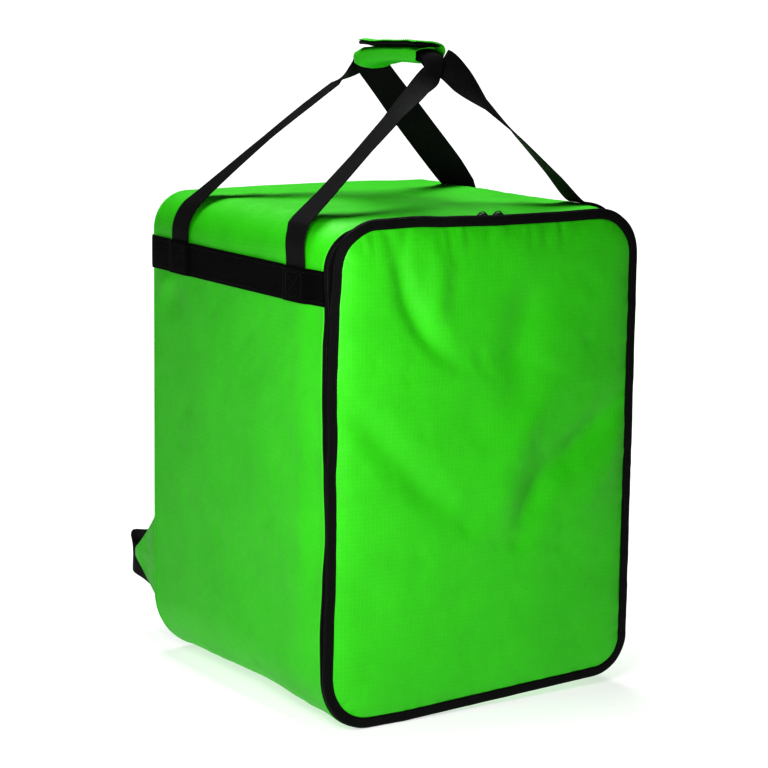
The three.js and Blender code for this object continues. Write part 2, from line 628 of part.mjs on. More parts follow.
// Stations of one handle leg, from its foot under the band up to the mouth of the grip
function legStations(side, end, leg) {
  const footY = end < 0 ? HANDLE_FRONT_Y : HANDLE_BACK_Y;
  const mouthY = GRIP_CENTRE_Y + end * (GRIP_LENGTH / 2 + mouthReach(side) + WEBBING_THICKNESS);
  const grip = gripAt(mouthY);
  const stand = HANDLE_STANDOFF * leg.stand;
  const lift = shoulderPlace(side, footY, leg.lift, WEBBING_LIFT + stand);
  lift.x -= side * leg.run * WEBBING_WIDTH;
  const mouth = point(side * leg.across * GRIP_HALF_WIDTH, mouthY, grip.z - leg.drop * MOUTH_DROP);
  const stations = [];
  for (const z of [BAND_TOP - HANDLE_TUCK, BAND_TOP - HANDLE_TUCK / 2, BAND_TOP + WEBBING_THICKNESS]) {
    stations.push({ place: sidePlace(side, footY, z, WEBBING_LIFT), side: BACKWARD.clone() });
  }
  for (const share of [0.15, 0.32, 0.5, 0.68, 0.84]) {
    const place = shoulderPlace(side, footY, leg.lift * share, WEBBING_LIFT + stand * share);
    stations.push({ place, side: BACKWARD.clone() });
  }
  const along = mouth.clone().sub(lift).normalize();
  LEG_SHARES.forEach((share, i) => {
    const place = lift.clone().lerp(mouth, share);
    place.z -= leg.sag * WEBBING_WIDTH * Math.sin(Math.PI * share);
    const tangent = along.clone();
    if (share === 1) tangent.set(-side * leg.lean, 0, 1).normalize();
    const outward = tangent.clone().cross(BACKWARD).multiplyScalar(-side).normalize();
    const twist = degrees(leg.twists[i]);
    const direction = BACKWARD.clone().multiplyScalar(Math.cos(twist)).addScaledVector(outward, Math.sin(twist));
    stations.push({ place, side: direction, cup: leg.cup * smooth(clamp(2 * share - 1, 0, 1)) });
  });
  return stations;
}

function handleGeometry(side) {
  const legs = side < 0 ? [HANDLE_LEGS.front_left, HANDLE_LEGS.back_left] : [HANDLE_LEGS.front_right, HANDLE_LEGS.back_right];
  const front = legStations(side, -1, legs[0]);
  const back = legStations(side, 1, legs[1]).reverse();
  for (const station of back) station.side.negate();
  const curve = WEBBING_WIDTH / 2 / degrees(HANDLE_CUP);
  const depth = side < 0 ? 0 : HANDLE_STACK;
  const cup = HANDLE_CUP * curve / (curve - depth);
  const across = point(side, 0, 0);
  const level = (y) => gripAt(y).z + gripAt(y).halfRise - GRIP_WALL / 2 - 2 * WEBBING_LIFT - depth;
  const turn = (end, angle, leg) => {
    const y = GRIP_CENTRE_Y + end * GRIP_LENGTH / 2;
    const reach = mouthReach(side);
    const flattened = (angle / 90) ** (side < 0 ? 0.6 : 1);
    const x = side * leg.across * GRIP_HALF_WIDTH * 0.3 * (1 - Math.cos(degrees(angle)));
    const place = point(x, y + end * reach * Math.sin(degrees(angle)), level(y) - reach * (1 - Math.cos(degrees(angle))));
    return { place, side: across.clone(), cup: mix(cup, leg.cup, flattened), sheared: true };
  };
  const held = [turn(-1, 75, legs[0]), turn(-1, 35, legs[0])];
  for (const share of [-0.5, -0.38, -0.2, 0, 0.2, 0.38, 0.5]) {
    const y = GRIP_CENTRE_Y + share * GRIP_LENGTH;
    held.push({ place: point(0, y, level(y)), side: across.clone(), cup });
  }
  held.push(turn(1, 35, legs[1]), turn(1, 75, legs[1]));
  return ribbonGeometry([...front, ...held, ...back],
    { width: WEBBING_WIDTH, thickness: WEBBING_THICKNESS, face: side, pace: 20 });
}

// Grip wrap: a strip that winds once round the handles from the top and back over it as a flap.
// The strip's turn runs from its inner end to the flap's free end.
const GRIP_TURN_START = 62;
const GRIP_TURN_END = 498;
const FLAP_START = 350;
const FLAP_SETTLED = 402;

const FLAP_OVER = GRIP_WALL + FASTENER_THICKNESS + 5 * GAP;
const GRIP_SQUARENESS = 3;

function gripPlace(y, turn, lift) {
  const { z, halfWidth, halfRise } = gripAt(y);
  const angle = degrees(turn);
  const flapShare = clamp((turn - FLAP_START) / (FLAP_SETTLED - FLAP_START), 0, 1);
  const free = clamp((turn - FLAP_SETTLED) / (GRIP_TURN_END - FLAP_SETTLED), 0, 1);
  const out = FLAP_OVER * smooth(flapShare) + FLAP_LIFT * free ** 3 + lift;
  const power = GRIP_SQUARENESS;
  const round = 1 / (Math.abs(Math.cos(angle)) ** power + Math.abs(Math.sin(angle)) ** power) ** (1 / power);
  const x = halfWidth * round * Math.cos(angle);
  const up = halfRise * round * Math.sin(angle);
  const normal = point(x / halfWidth ** 2, 0, up / halfRise ** 2).normalize();
  const levelled = free * Math.max(GRIP_HEIGHT - z, 0);
  return point(x + out * normal.x, y - FLAP_SKEW * free, z + up + out * normal.z + levelled);
}

function gripStripGeometry(turnStart, turnEnd, turnSteps, lowLift, highLift, startShare, endShare) {
  const steps = 10;
  const rings = [];
  for (let i = 0; i <= steps; i++) {
    const y = GRIP_CENTRE_Y + GRIP_LENGTH * (mix(startShare, endShare, i / steps) - 0.5);
    const inner = [];
    const outer = [];
    for (let k = 0; k <= turnSteps; k++) {
      const turn = mix(turnStart, turnEnd, k / turnSteps);
      inner.push(gripPlace(y, turn, lowLift));
      outer.push(gripPlace(y, turn, highLift));
    }
    rings.push([...inner, ...outer.reverse()]);
  }
  return skin(rings);
}

function gripGeometry() {
  return gripStripGeometry(GRIP_TURN_START, GRIP_TURN_END, 20, -GRIP_WALL / 2, GRIP_WALL / 2, 0, 1);
}

// Fastener strip on the underside of the flap, between it and the wound layer
function fastenerGeometry() {
  const high = -GRIP_WALL / 2 - 2.5 * GAP;
  const low = high - FASTENER_THICKNESS;
  const inset = 5;
  return gripStripGeometry(FLAP_SETTLED + inset, GRIP_TURN_END - inset, 5, low, high, 0.04, 0.96);
}

// Shoulder strap pad, from under the band down to its lower end
function padStations(side) {
  const top = BAND_TOP - BAND_WIDTH - 2 * GAP;
  return PAD_SECTIONS.map(({ down, stand, wide, thick }) => {
    const x = side * mix(PAD_TOP_X, PAD_LOW_X, smooth(down));
    const z = top - down * PAD_LENGTH_DOWN;
    const seat = BACK_FACE + backSwell(x, z) + GAP + PAD_THICKNESS * thick / 2;
    return { place: point(x, seat + stand * PAD_BOW, z), side: point(side, 0, 0), wide, thick };
  });
}

function padGeometry(side) {
  return ribbonGeometry(padStations(side),
    { width: PAD_WIDTH, thickness: PAD_THICKNESS, face: side, pace: 22, across: 6, edge: 0.45 });
}

// Where the buckle hangs: just below the pad, turned with it
function buckleFrame(side) {
  const stations = padStations(side);
  const last = stations[stations.length - 1].place;
  const before = stations[stations.length - 2].place;
  const down = last.clone().sub(before).normalize();
  const across = point(side, 0, 0).projectOnPlane(down).normalize();
  const out = across.clone().cross(down).multiplyScalar(side);
  return { origin: last, down, across, out };
}

function framePlace(frame, across, out, down) {
  return frame.origin.clone().addScaledVector(frame.across, across)
    .addScaledVector(frame.out, out).addScaledVector(frame.down, down);
}

// Buckle: a flat frame with two slots and three bars
function buckleGeometry(side) {
  const frame = buckleFrame(side);
  const shape = new THREE.Shape();
  const halfW = BUCKLE_WIDTH / 2;
  const halfH = BUCKLE_HEIGHT / 2;
  shape.moveTo(-halfW, -halfH);
  shape.lineTo(halfW, -halfH);
  shape.lineTo(halfW, halfH);
  shape.lineTo(-halfW, halfH);
  shape.closePath();
  const slotHalf = WEBBING_WIDTH / 2 + 1;
  const slotHeight = (BUCKLE_HEIGHT - 3 * BUCKLE_BAR) / 2;
  for (const start of [-halfH + BUCKLE_BAR, BUCKLE_BAR / 2]) {
    const slot = new THREE.Path();
    slot.moveTo(-slotHalf, start);
    slot.lineTo(-slotHalf, start + slotHeight);
    slot.lineTo(slotHalf, start + slotHeight);
    slot.lineTo(slotHalf, start);
    slot.closePath();
    shape.holes.push(slot);
  }
  const geometry = new THREE.ExtrudeGeometry(shape, { depth: BUCKLE_THICKNESS, bevelEnabled: false });
  geometry.translate(0, 0, -BUCKLE_THICKNESS / 2);
  const basis = new THREE.Matrix4().makeBasis(frame.across, frame.down.clone().negate(), frame.out.clone().multiplyScalar(-side));
  const centre = framePlace(frame, 0, 0, BUCKLE_HEIGHT / 2 + GAP);
  geometry.applyMatrix4(basis.setPosition(centre));
  return geometry;
}

// Keeper: a short loop of webbing from the back of the pad, round the buckle's top bar, to its front
function keeperGeometry(side) {
  const frame = buckleFrame(side);
  const clear = BUCKLE_THICKNESS / 2 + GAP + WEBBING_THICKNESS / 2;
  const padClear = PAD_THICKNESS / 2 + GAP + WEBBING_THICKNESS;
  const turnDown = BUCKLE_BAR + GAP * 3 + WEBBING_THICKNESS;
  const rows = [[-padClear, -26], [-padClear, -10], [-clear, 0], [-clear, turnDown - 1.5], [0, turnDown + 0.8],
    [clear, turnDown - 1.5], [clear, 0], [padClear, -10], [padClear, -26]];
  const stations = rows.map(([out, down]) => ({ place: framePlace(frame, 0, out, down), side: frame.across.clone() }));
  return ribbonGeometry(stations, { width: WEBBING_WIDTH, thickness: WEBBING_THICKNESS, face: side, pace: 6, across: 2 });
}

// Wing: a cloth triangle from the lower back edge, whose tip holds the adjusting webbing
function wingGeometry(side) {
  const base = BACK_FACE + GAP;
  const rows = [0, 0.2, 0.4, 0.6, 0.8, 1];
  const tipHeight = WEBBING_WIDTH * 0.32;
  const rings = rows.map((share) => {
    const low = mix(WING_BASE_LOW, WING_TIP_HEIGHT - tipHeight / 2, share);
    const high = mix(WING_BASE_HIGH, WING_TIP_HEIGHT + tipHeight / 2, share ** 0.8);
    const x = mix(WING_SEAM_X, WING_TIP_X, share);
    const thick = WING_THICKNESS * mix(1, 0.8, share) / 2;
    const y = base + share * WING_REACH;
    const ripple = 1.2 * Math.sin(3 * Math.PI * share);
    const near = [];
    const far = [];
    for (const up of [0, 0.33, 0.67, 1]) {
      const wave = ripple * Math.sin(Math.PI * up);
      near.push(point(side * (x + thick + wave), y, mix(low, high, up)));
      far.push(point(side * (x - thick + wave), y, mix(low, high, up)));
    }
    return [...near, ...far.reverse()];
  });
  return skin(rings);
}

// Adjusting webbing: sewn flat to the inner face of the wing, out past its tip, round and up to the
// buckle, over its lower bar from behind, and down in front as a free tail
function adjusterGeometry(side) {
  const frame = buckleFrame(side);
  const base = BACK_FACE + GAP;
  const inFace = (share) => mix(WING_SEAM_X, WING_TIP_X, share) - WING_THICKNESS / 2 - 2.4 * WEBBING_LIFT;
  const tipY = base + WING_REACH;
  const level = WING_TIP_HEIGHT - 13;
  const stations = [
    { place: point(side * inFace(0.45), base + 0.45 * WING_REACH, level - 5), side: UP.clone(), wide: 0.8 },
    { place: point(side * inFace(0.8), base + 0.8 * WING_REACH, level), side: UP.clone() },
    { place: point(side * (WING_TIP_X - 6), tipY + 11, level + 3), side: UP.clone() },
    { place: point(side * (WING_TIP_X - 18), tipY + 18, level + 14), side: point(side * -0.5, 0.1, 0.85) },
    { place: point(side * (WING_TIP_X - 36), tipY + 8, level + 38), side: point(side * -0.9, 0, 0.45) },
  ];
  const barDown = BUCKLE_HEIGHT + GAP - BUCKLE_BAR / 2;
  const clear = BUCKLE_THICKNESS / 2 + GAP + WEBBING_THICKNESS / 2;
  const overBar = barDown - BUCKLE_BAR / 2 - GAP - WEBBING_THICKNESS / 2;
  const across = frame.across.clone().negate();
  const near = clear + GAP / 2;
  const corner = BUCKLE_THICKNESS / 2 + 1.1;
  const rows = [[-near - 2, barDown + 20], [-near, barDown + 2], [-near, barDown - 1.2], [-corner, overBar + 0.15],
    [0, overBar - 0.3], [corner, overBar + 0.15], [near, barDown - 1.2], [near, barDown + 5]];
  for (const [out, down] of rows) stations.push({ place: framePlace(frame, 0, out, down), side: across.clone() });
  const last = stations[stations.length - 1].place;
  for (const share of [0.3, 0.6, 1]) {
    stations.push({ place: last.clone().add(point(0, 0, -share * TAIL_LENGTH)), side: across.clone() });
  }
  return ribbonGeometry(stations, { width: WEBBING_WIDTH, thickness: WEBBING_THICKNESS, face: side, pace: 9, across: 2 });
}

const bag = new THREE.Group();

function addPiece(name, geometry, finish) {
  const mesh = new THREE.Mesh(geometry, new THREE.MeshStandardMaterial(finish));
  mesh.name = name;
  bag.add(mesh);
}

addPiece('body_wrap', wrapGeometry(), GREEN);
addPiece('back_panel', backPanelGeometry(), GREEN);
addPiece('zip_tape', zipTapeGeometry(), BLACK);
addPiece('front_door', doorGeometry(), GREEN);
addPiece('door_binding', bindingGeometry(), BLACK);
addPiece('upper_band', bandGeometry(), BLACK);
addPiece('handle_grip', gripGeometry(), GREEN);
addPiece('grip_fastener', fastenerGeometry(), BLACK);
for (const [name, side] of [['left', -1], ['right', 1]]) {
  addPiece(`zip_slider_${name}`, sliderGeometry(SLIDER_PLACES[name]), PLASTIC);
  addPiece(`handle_strap_${name}`, handleGeometry(side), BLACK);
  addPiece(`shoulder_strap_${name}`, padGeometry(side), GREEN);
  addPiece(`buckle_${name}`, buckleGeometry(side), PLASTIC);
  addPiece(`buckle_keeper_${name}`, keeperGeometry(side), BLACK);
  addPiece(`strap_webbing_${name}`, adjusterGeometry(side), BLACK);
  addPiece(`strap_wing_${name}`, wingGeometry(side), GREEN);
}

export default bag;
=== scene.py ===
import json
import math

import bmesh
import bpy
import numpy as np
from mathutils import Matrix

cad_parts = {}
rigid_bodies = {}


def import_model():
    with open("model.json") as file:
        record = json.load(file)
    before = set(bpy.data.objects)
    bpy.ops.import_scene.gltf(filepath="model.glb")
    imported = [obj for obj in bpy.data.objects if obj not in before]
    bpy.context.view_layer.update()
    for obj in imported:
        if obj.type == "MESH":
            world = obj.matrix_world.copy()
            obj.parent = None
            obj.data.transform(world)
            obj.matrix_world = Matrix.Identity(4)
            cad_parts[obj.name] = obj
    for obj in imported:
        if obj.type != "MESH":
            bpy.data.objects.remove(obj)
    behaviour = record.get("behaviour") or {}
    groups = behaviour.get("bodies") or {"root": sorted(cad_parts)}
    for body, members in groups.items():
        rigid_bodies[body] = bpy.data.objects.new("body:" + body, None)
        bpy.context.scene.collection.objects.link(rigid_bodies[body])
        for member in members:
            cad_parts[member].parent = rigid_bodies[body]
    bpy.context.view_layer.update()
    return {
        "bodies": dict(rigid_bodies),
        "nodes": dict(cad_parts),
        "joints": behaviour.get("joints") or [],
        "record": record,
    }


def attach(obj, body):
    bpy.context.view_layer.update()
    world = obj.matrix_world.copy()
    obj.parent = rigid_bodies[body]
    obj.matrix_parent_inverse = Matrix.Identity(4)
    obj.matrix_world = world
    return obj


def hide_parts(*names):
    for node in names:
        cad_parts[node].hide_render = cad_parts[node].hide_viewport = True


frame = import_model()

MM = 0.001

# Points of a skin that are nearer to each other than this become one
WELD_REACH = 0.002

# Padded wrap: the strip that makes the top, the sides and the base
BAG_WIDTH = 419
BAG_HEIGHT = 565
WRAP_DEPTH = 377
WRAP_CENTRE_Y = -2
WRAP_WALL = 8
SHOULDER_RADIUS = 48
BASE_RADIUS = 76
SIDE_SWELL = 2
TOP_CROWN = 3
FRONT_PULL = 10
FRONT_PULL_DEPTH = 45
BASE_HITCH = 15
HITCH_START_X = -100
HITCH_DEPTH = 170
RIM_ROUND = 2.2
GAP = 0.35

# Back panel, front door, binding and zip
BACK_THICKNESS = 12
BACK_SWELL = 3
BACK_SEAM_INSET = 26
BACK_GROOVE_HALF = 3
BACK_GROOVE_DEPTH = 1.6
BACK_CREASE = 0.8
BACK_FACE_EASE = 8
BACK_STITCH_SINK = 1.9
ZIP_TAPE_WIDTH = 24
ZIP_TAPE_THICKNESS = 2.4
ZIP_EDGE_INSET = 0.4
BINDING_WIDTH = 12
BINDING_DEPTH = 6
BINDING_WALL = 1.3
BINDING_BACK_LEG = 9
BINDING_ROUND = 2.4
BINDING_CROWN = 0.27
BINDING_WAVE = 0.55
BINDING_WAVE_SIZES = {"long": 17, "short": 8}
DOOR_SWELL = 9
DOOR_BOW = 7
DOOR_FOLD_DEPTH = 15
DOOR_TOP_RISE = 2
DOOR_BASE_LIFT = 1
DOOR_EDGE_DRAW = 0.75
DOOR_EDGE_REACH = 19
DOOR_EDGE_BAND = 1.5 * BINDING_WIDTH
DOOR_CREASE = 1.1
DOOR_PUCKER = 1.5
DOOR_PUCKER_REACH = 11
DOOR_PUCKER_SIZE = 8
DOOR_GATHER_DEPTH = 2.8
DOOR_GATHER_HALF = 5
DOOR_GATHER_REACH = 22
DOOR_CORNERS = {"bottom_left": 62, "bottom_right": 46, "top_right": 60, "top_left": 60}
SLIDER_LENGTH = 13
SLIDER_DEPTH = 8
SLIDER_HEIGHT = 5.5
SLIDER_WAIST = 0.16
SLIDER_BRIDGE_HALF = 4.2
SLIDER_PLACES = {"left": -1, "right": 20}
TOOTH_PITCH = 1.9
TOOTH_LENGTH = 4.6
TOOTH_THICKNESS = 1.1
CHAIN_INSET = 5.5
SEAM_SINK = 0.25

# Webbing and the two handles
WEBBING_WIDTH = 38
WEBBING_THICKNESS = 1.8
WEBBING_EDGE = 0.6
BAND_TOP = 510
BAND_WIDTH = 38
BAND_RAMP = 7
HANDLE_FRONT_Y = -142
HANDLE_BACK_Y = 120
HANDLE_TUCK = 32
HANDLE_STANDOFF = 10
HANDLE_TURN = 5
HANDLE_CUP = 34
HANDLE_STACK = 3.5
MOUTH_DROP = 15
MOUTH_REACH = {"outer": 17, "inner": 8}

# Grip wrap
GRIP_LENGTH = 121
GRIP_CENTRE_Y = -12
GRIP_HEIGHT = 726
GRIP_HALF_WIDTH = 21.5
GRIP_HALF_RISE = 10.5
GRIP_WALL = 2.6
GRIP_SQUARENESS = 3
GRIP_TURN_START = 62
GRIP_TURN_END = 498
GRIP_WRINKLE = 0.9
GRIP_WRINKLE_SIZE = 2.2
FASTENER_THICKNESS = 1.4
FLAP_START = 350
FLAP_SETTLED = 402
FLAP_LIFT = 4
FLAP_SKEW = 8
GRIP_END_SKEW = 10
FLAP_EDGE = 0.9
FLAP_OVER = GRIP_WALL + FASTENER_THICKNESS + 5 * GAP

# Shoulder straps, buckles, adjusting webbing and wings
PAD_WIDTH = 66
PAD_THICKNESS = 14
PAD_LENGTH_DOWN = 255
PAD_TOP_X = 92
PAD_LOW_X = 136
PAD_BOW = 64
BUCKLE_WIDTH = 50
BUCKLE_HEIGHT = 34
BUCKLE_THICKNESS = 4
BUCKLE_BAR = 5
WING_REACH = 82
WING_THICKNESS = 4
WING_BASE_LOW = 64
WING_BASE_HIGH = 176
WING_TIP_HEIGHT = 104
WING_SEAM_X = 200
WING_TIP_X = 187
WING_TIP_ROUND = 0.32
WING_WAVE = 1.2
WING_CRUMPLE = 1.1
WING_CRUMPLE_SIZE = 11
KEEPER_REACH = 26
KEEPER_SPLAY = 10
ADJUSTER_DROP = 13
TAIL_LENGTH = 70

# Creases of padded cloth, from wide soft ones to the finest crumple, and the start of each piece's own
# random heights
CREASE_SIZES = {"wide": 58, "short": 21, "fine": 7}
CREASE_DEPTHS = {"wide": 1.1, "short": 0.9, "fine": 0.16}
SEEDS = {"wrap": 3, "back": 11, "binding": 21, "edge": 31, "door": 41, "grip": 51, "wing": 61}

# Stitches
STITCH_LENGTH = 3.0
STITCH_GAP = 1.1
STITCH_THICKNESS = 0.55
SEAM_INSET = 4

# A stitch or a tooth is a rod of a few rings with six sides
ROD_RINGS = 5
ROD_SIDES = 6

# Steps worked out between two places of a fold's path, size of the lattice of random heights, and the
# length of a quarter circle as a share of the straight line between its ends
FOLD_STEPS = 4
LATTICE = 64
ARC_TO_CHORD = 1.11

# Weave of the cloth and of the webbing
RIPSTOP_PITCH = 5
RIPSTOP_LINE = 0.45
WEAVE_PITCH = 0.8
WEBBING_RIB = 1.9
WEFT_PITCH = 1.1

# Colours, dark and bright, as shares of red, green and blue light
COLOURS = {
    "green_cloth": ((0.032, 0.42, 0.006), (0.056, 0.66, 0.010)),
    "band_webbing": ((0.0008, 0.0008, 0.0008), (0.0035, 0.0035, 0.0035)),
    "strap_webbing": ((0.005, 0.005, 0.0055), (0.022, 0.021, 0.023)),
    "binding_tape": ((0.002, 0.002, 0.002), (0.008, 0.008, 0.008)),
    "black_plastic": ((0.010, 0.010, 0.011), (0.020, 0.020, 0.022)),
    "green_thread": ((0.048, 0.44, 0.016), (0.06, 0.55, 0.02)),
    "black_thread": ((0.0048, 0.0048, 0.0048), (0.006, 0.006, 0.006)),
}

# Soft lights: place and size in metres, power in watts
LIGHTS = [
    {"name": "key", "place": (-0.66, -0.76, 0.6), "size": 0.35, "power": 6.6},
    {"name": "top", "place": (0.1, 0.5, 2.4), "size": 1.2, "power": 40},
]
WORLD_STRENGTH = 0.04
FLOOR_REACH = 80
# The floor's own grey, then the dim and bright colours of its painted glow, an emission
FLOOR_GREYS_AND_GLOW = {"base": (0.5, 0.5, 0.5), "dim": (0.1, 0.1, 0.1), "bright": (0.76, 0.76, 0.76)}

# The floor's painted glow, an emission, brightens toward the back of the bag: the way there, and where
# along it the glow begins to brighten, is pale, brightens again and is brightest, in metres
FLOOR_GLOW_WAY = (0.54, 0.84, 0)
FLOOR_GLOW_STEPS = (-1.0, -0.35, 0.4, 3.0)

# Camera at the photograph's viewing angle, in metres and degrees
CAMERA_PLACE = (-1.58244, -2.45281, 0.84918)
CAMERA_YAW = 32.748
CAMERA_PITCH = -9.839
CAMERA_ROLL = 0.770
CAMERA_LENS = 118.15
CAMERA_SENSOR = 36

# Sections of the wrap from front rim to back rim: shares of the corner radii, and the draw-in as a
# share of the wall.
WRAP_SECTIONS = [
    {"depth": 0.00, "shoulder": 0.96, "base": 0.82, "inset": 0.05},
    {"depth": 0.13, "shoulder": 0.88, "base": 0.95, "inset": 0.00},
    {"depth": 0.50, "shoulder": 1.02, "base": 1.12, "inset": 0.00},
    {"depth": 0.85, "shoulder": 0.96, "base": 1.05, "inset": 0.00},
    {"depth": 1.00, "shoulder": 0.92, "base": 1.00, "inset": 0.05},
]

# How far the front is pulled in toward the right along its left side, by height, and down along its
# top, by place across: shares of the pull for the wrap's rim and for the door in front of it.
LEFT_PULLS = [
    {"up": 0.00, "rim": 0.20, "door": 0.30}, {"up": 0.08, "rim": 0.40, "door": 0.40},
    {"up": 0.20, "rim": 0.25, "door": 0.45}, {"up": 0.30, "rim": 0.50, "door": 0.65},
    {"up": 0.39, "rim": 0.80, "door": 0.70}, {"up": 0.51, "rim": 0.55, "door": 0.55},
    {"up": 0.58, "rim": 0.38, "door": 0.68}, {"up": 0.67, "rim": 0.26, "door": 0.55},
    {"up": 0.76, "rim": 0.28, "door": 0.68}, {"up": 0.82, "rim": 0.48, "door": 0.80},
    {"up": 0.90, "rim": 0.30, "door": 1.10}, {"up": 1.00, "rim": 0.30, "door": 0.90},
]
TOP_PULLS = [
    {"across": -1.00, "rim": 0.90, "door": 0.20}, {"across": -0.85, "rim": 0.80, "door": 0.50},
    {"across": -0.66, "rim": 0.38, "door": 0.35}, {"across": -0.45, "rim": 0.18, "door": 0.28},
    {"across": -0.25, "rim": 0.35, "door": 0.48}, {"across": 0.08, "rim": 0.48, "door": 0.64},
    {"across": 0.45, "rim": 0.64, "door": 0.64}, {"across": 0.70, "rim": 0.50, "door": 0.55},
    {"across": 0.88, "rim": 0.30, "door": 0.35}, {"across": 1.00, "rim": 0.10, "door": 0.00},
]

# Folds: a path of places, as shares of half the width, half the depth or the height; how wide, as a
# share of the wall or of the binding's width; and how deep, less than nothing for a ridge.
TOP_FOLDS = [
    {"wide": 2.4, "deep": 0.28, "path": ((-0.91, -0.81), (-0.53, -0.57), (-0.15, -0.22), (0.26, 0.14),
                                         (0.65, 0.48))},
    {"wide": 3.5, "deep": -0.25, "path": ((0.55, 0.00), (0.80, 0.35))},
    {"wide": 3.0, "deep": 0.08, "path": ((-0.92, 0.50), (-0.60, 0.68))},
    {"wide": 3.5, "deep": -0.50, "path": ((-0.85, 0.90), (-0.30, 0.97), (0.35, 0.95), (0.85, 0.80))},
    {"wide": 1.8, "deep": 0.14, "path": ((-0.10, -0.90), (0.30, -0.55))},
    {"wide": 2.2, "deep": 0.16, "path": ((0.55, -0.85), (0.80, -0.30))},
]
LEFT_FOLDS = [
    {"wide": 0.8, "deep": -0.22, "path": ((0.88, 0.850), (0.98, 0.820))},
    {"wide": 1.1, "deep": -0.30, "path": ((0.76, 0.838), (0.97, 0.785))},
    {"wide": 1.6, "deep": 0.20, "path": ((0.92, 0.740), (0.66, 0.800))},
    {"wide": 2.0, "deep": 0.12, "path": ((0.30, 0.900), (0.10, 0.870))},
    {"wide": 5.0, "deep": 0.25, "path": ((-0.70, 0.180), (0.10, 0.300))},
    {"wide": 6.0, "deep": 0.14, "path": ((-0.30, 0.550), (0.40, 0.480))},
]
RIGHT_FOLDS = [
    {"wide": 1.4, "deep": 0.22, "path": ((0.90, 0.720), (0.55, 0.820))},
    {"wide": 4.0, "deep": 0.22, "path": ((-0.80, 0.240), (0.20, 0.340))},
]
BACK_FOLDS = [
    {"wide": 3.0, "deep": 0.16, "path": ((-0.70, 0.200), (0.10, 0.300))},
    {"wide": 3.0, "deep": 0.14, "path": ((0.20, 0.550), (0.75, 0.480))},
]
DOOR_FOLDS = [
    {"wide": 1.0, "deep": 0.42, "path": ((-0.60, 1.000), (-0.56, 0.900), (-0.51, 0.830), (-0.38, 0.755),
                                         (-0.22, 0.710))},
    {"wide": 1.3, "deep": -0.30, "path": ((-0.36, 0.980), (-0.33, 0.900), (-0.34, 0.820), (-0.28, 0.780))},
    {"wide": 1.6, "deep": 0.42, "path": ((-0.90, 0.655), (-0.74, 0.595), (-0.58, 0.535), (-0.38, 0.460),
                                         (-0.16, 0.400))},
    {"wide": 2.0, "deep": -0.42, "path": ((0.60, 0.680), (0.32, 0.605), (0.19, 0.545), (0.12, 0.470),
                                          (0.06, 0.405), (-0.10, 0.350))},
    {"wide": 1.6, "deep": 0.62, "path": ((1.02, 0.640), (0.78, 0.575), (0.57, 0.515), (0.38, 0.470),
                                         (0.27, 0.410), (0.20, 0.350))},
    {"wide": 1.7, "deep": -0.25, "path": ((1.02, 0.590), (0.90, 0.510), (0.74, 0.440), (0.62, 0.370))},
    {"wide": 2.0, "deep": 0.36, "path": ((0.34, 0.860), (0.18, 0.760), (0.17, 0.650))},
    {"wide": 2.2, "deep": -0.18, "path": ((0.60, 0.800), (0.44, 0.730), (0.38, 0.670))},
    {"wide": 2.4, "deep": 0.14, "path": ((-0.20, 0.658), (-0.08, 0.596), (-0.17, 0.549))},
    {"wide": 2.4, "deep": 0.18, "path": ((-0.79, 0.346), (-0.72, 0.223), (-0.62, 0.100))},
    {"wide": 2.6, "deep": 0.16, "path": ((0.90, 0.420), (0.80, 0.180))},
]

# Gathers along the door's top edge, as shares of half the width
DOOR_GATHERS = (-0.78, -0.72, -0.62, -0.53, -0.32, -0.25, -0.14, -0.01, 0.27, 0.36, 0.47)

# How each handle leg runs: it lifts off at an angle up the shoulder curve and stands off by a share of
# the stand-off; it sags by a share of its width; at the grip's mouth its place across and its drop are
# shares, with a lean, a cup and a share of its width to which it is bunched there. Its width turns by
# its twists, in degrees, at the shares of the way that follow.
HANDLE_LEGS = {
    "front_left": {"lift": 46, "stand": 0.8, "sag": 0.02, "across": 0.2, "drop": 1.2, "lean": 0.1,
                   "cup": 5, "bunch": 0.62, "twists": (3, -3, -6, -2, 20, 92)},
    "back_left": {"lift": 55, "stand": 0.4, "sag": -0.1, "across": 0.45, "drop": 0.9, "lean": 0.5,
                  "cup": 5, "bunch": 0.62, "twists": (-2, -8, -12, -10, -8, -62)},
    "front_right": {"lift": 90, "stand": 0, "sag": -0.08, "across": 0.95, "drop": 0.7, "lean": 1,
                    "cup": 8, "bunch": 0.9, "twists": (2, 10, 18, 34, 74, 88)},
    "back_right": {"lift": 72, "stand": 0, "sag": 0.02, "across": 0.6, "drop": 0.9, "lean": 0.6,
                   "cup": 8, "bunch": 0.95, "twists": (-30, -62, -74, -80, -84, -88)},
}
LEG_SHARES = (0, 0.2, 0.45, 0.7, 0.88, 1)

# Sections of the grip along its length, front end to back end
GRIP_SECTIONS = [
    {"along": 0.00, "rise": 0.74, "width": 1.02, "drop": -0.36},
    {"along": 0.12, "rise": 0.76, "width": 1.00, "drop": -0.38},
    {"along": 0.50, "rise": 0.74, "width": 1.00, "drop": -0.28},
    {"along": 0.72, "rise": 0.90, "width": 1.00, "drop": -0.04},
    {"along": 0.92, "rise": 1.05, "width": 1.02, "drop": 0.33},
    {"along": 1.00, "rise": 0.86, "width": 0.98, "drop": 0.41},
]

# Shoulder strap from its top to its lower end
PAD_SECTIONS = [
    {"down": 0.00, "stand": 0.00, "wide": 0.80, "thick": 0.45},
    {"down": 0.07, "stand": 0.10, "wide": 0.94, "thick": 0.90},
    {"down": 0.25, "stand": 0.68, "wide": 1.00, "thick": 1.00},
    {"down": 0.50, "stand": 1.00, "wide": 1.00, "thick": 1.00},
    {"down": 0.75, "stand": 0.92, "wide": 0.94, "thick": 1.00},
    {"down": 0.93, "stand": 0.68, "wide": 0.82, "thick": 0.85},
    {"down": 1.00, "stand": 0.585, "wide": 0.70, "thick": 0.26},
]

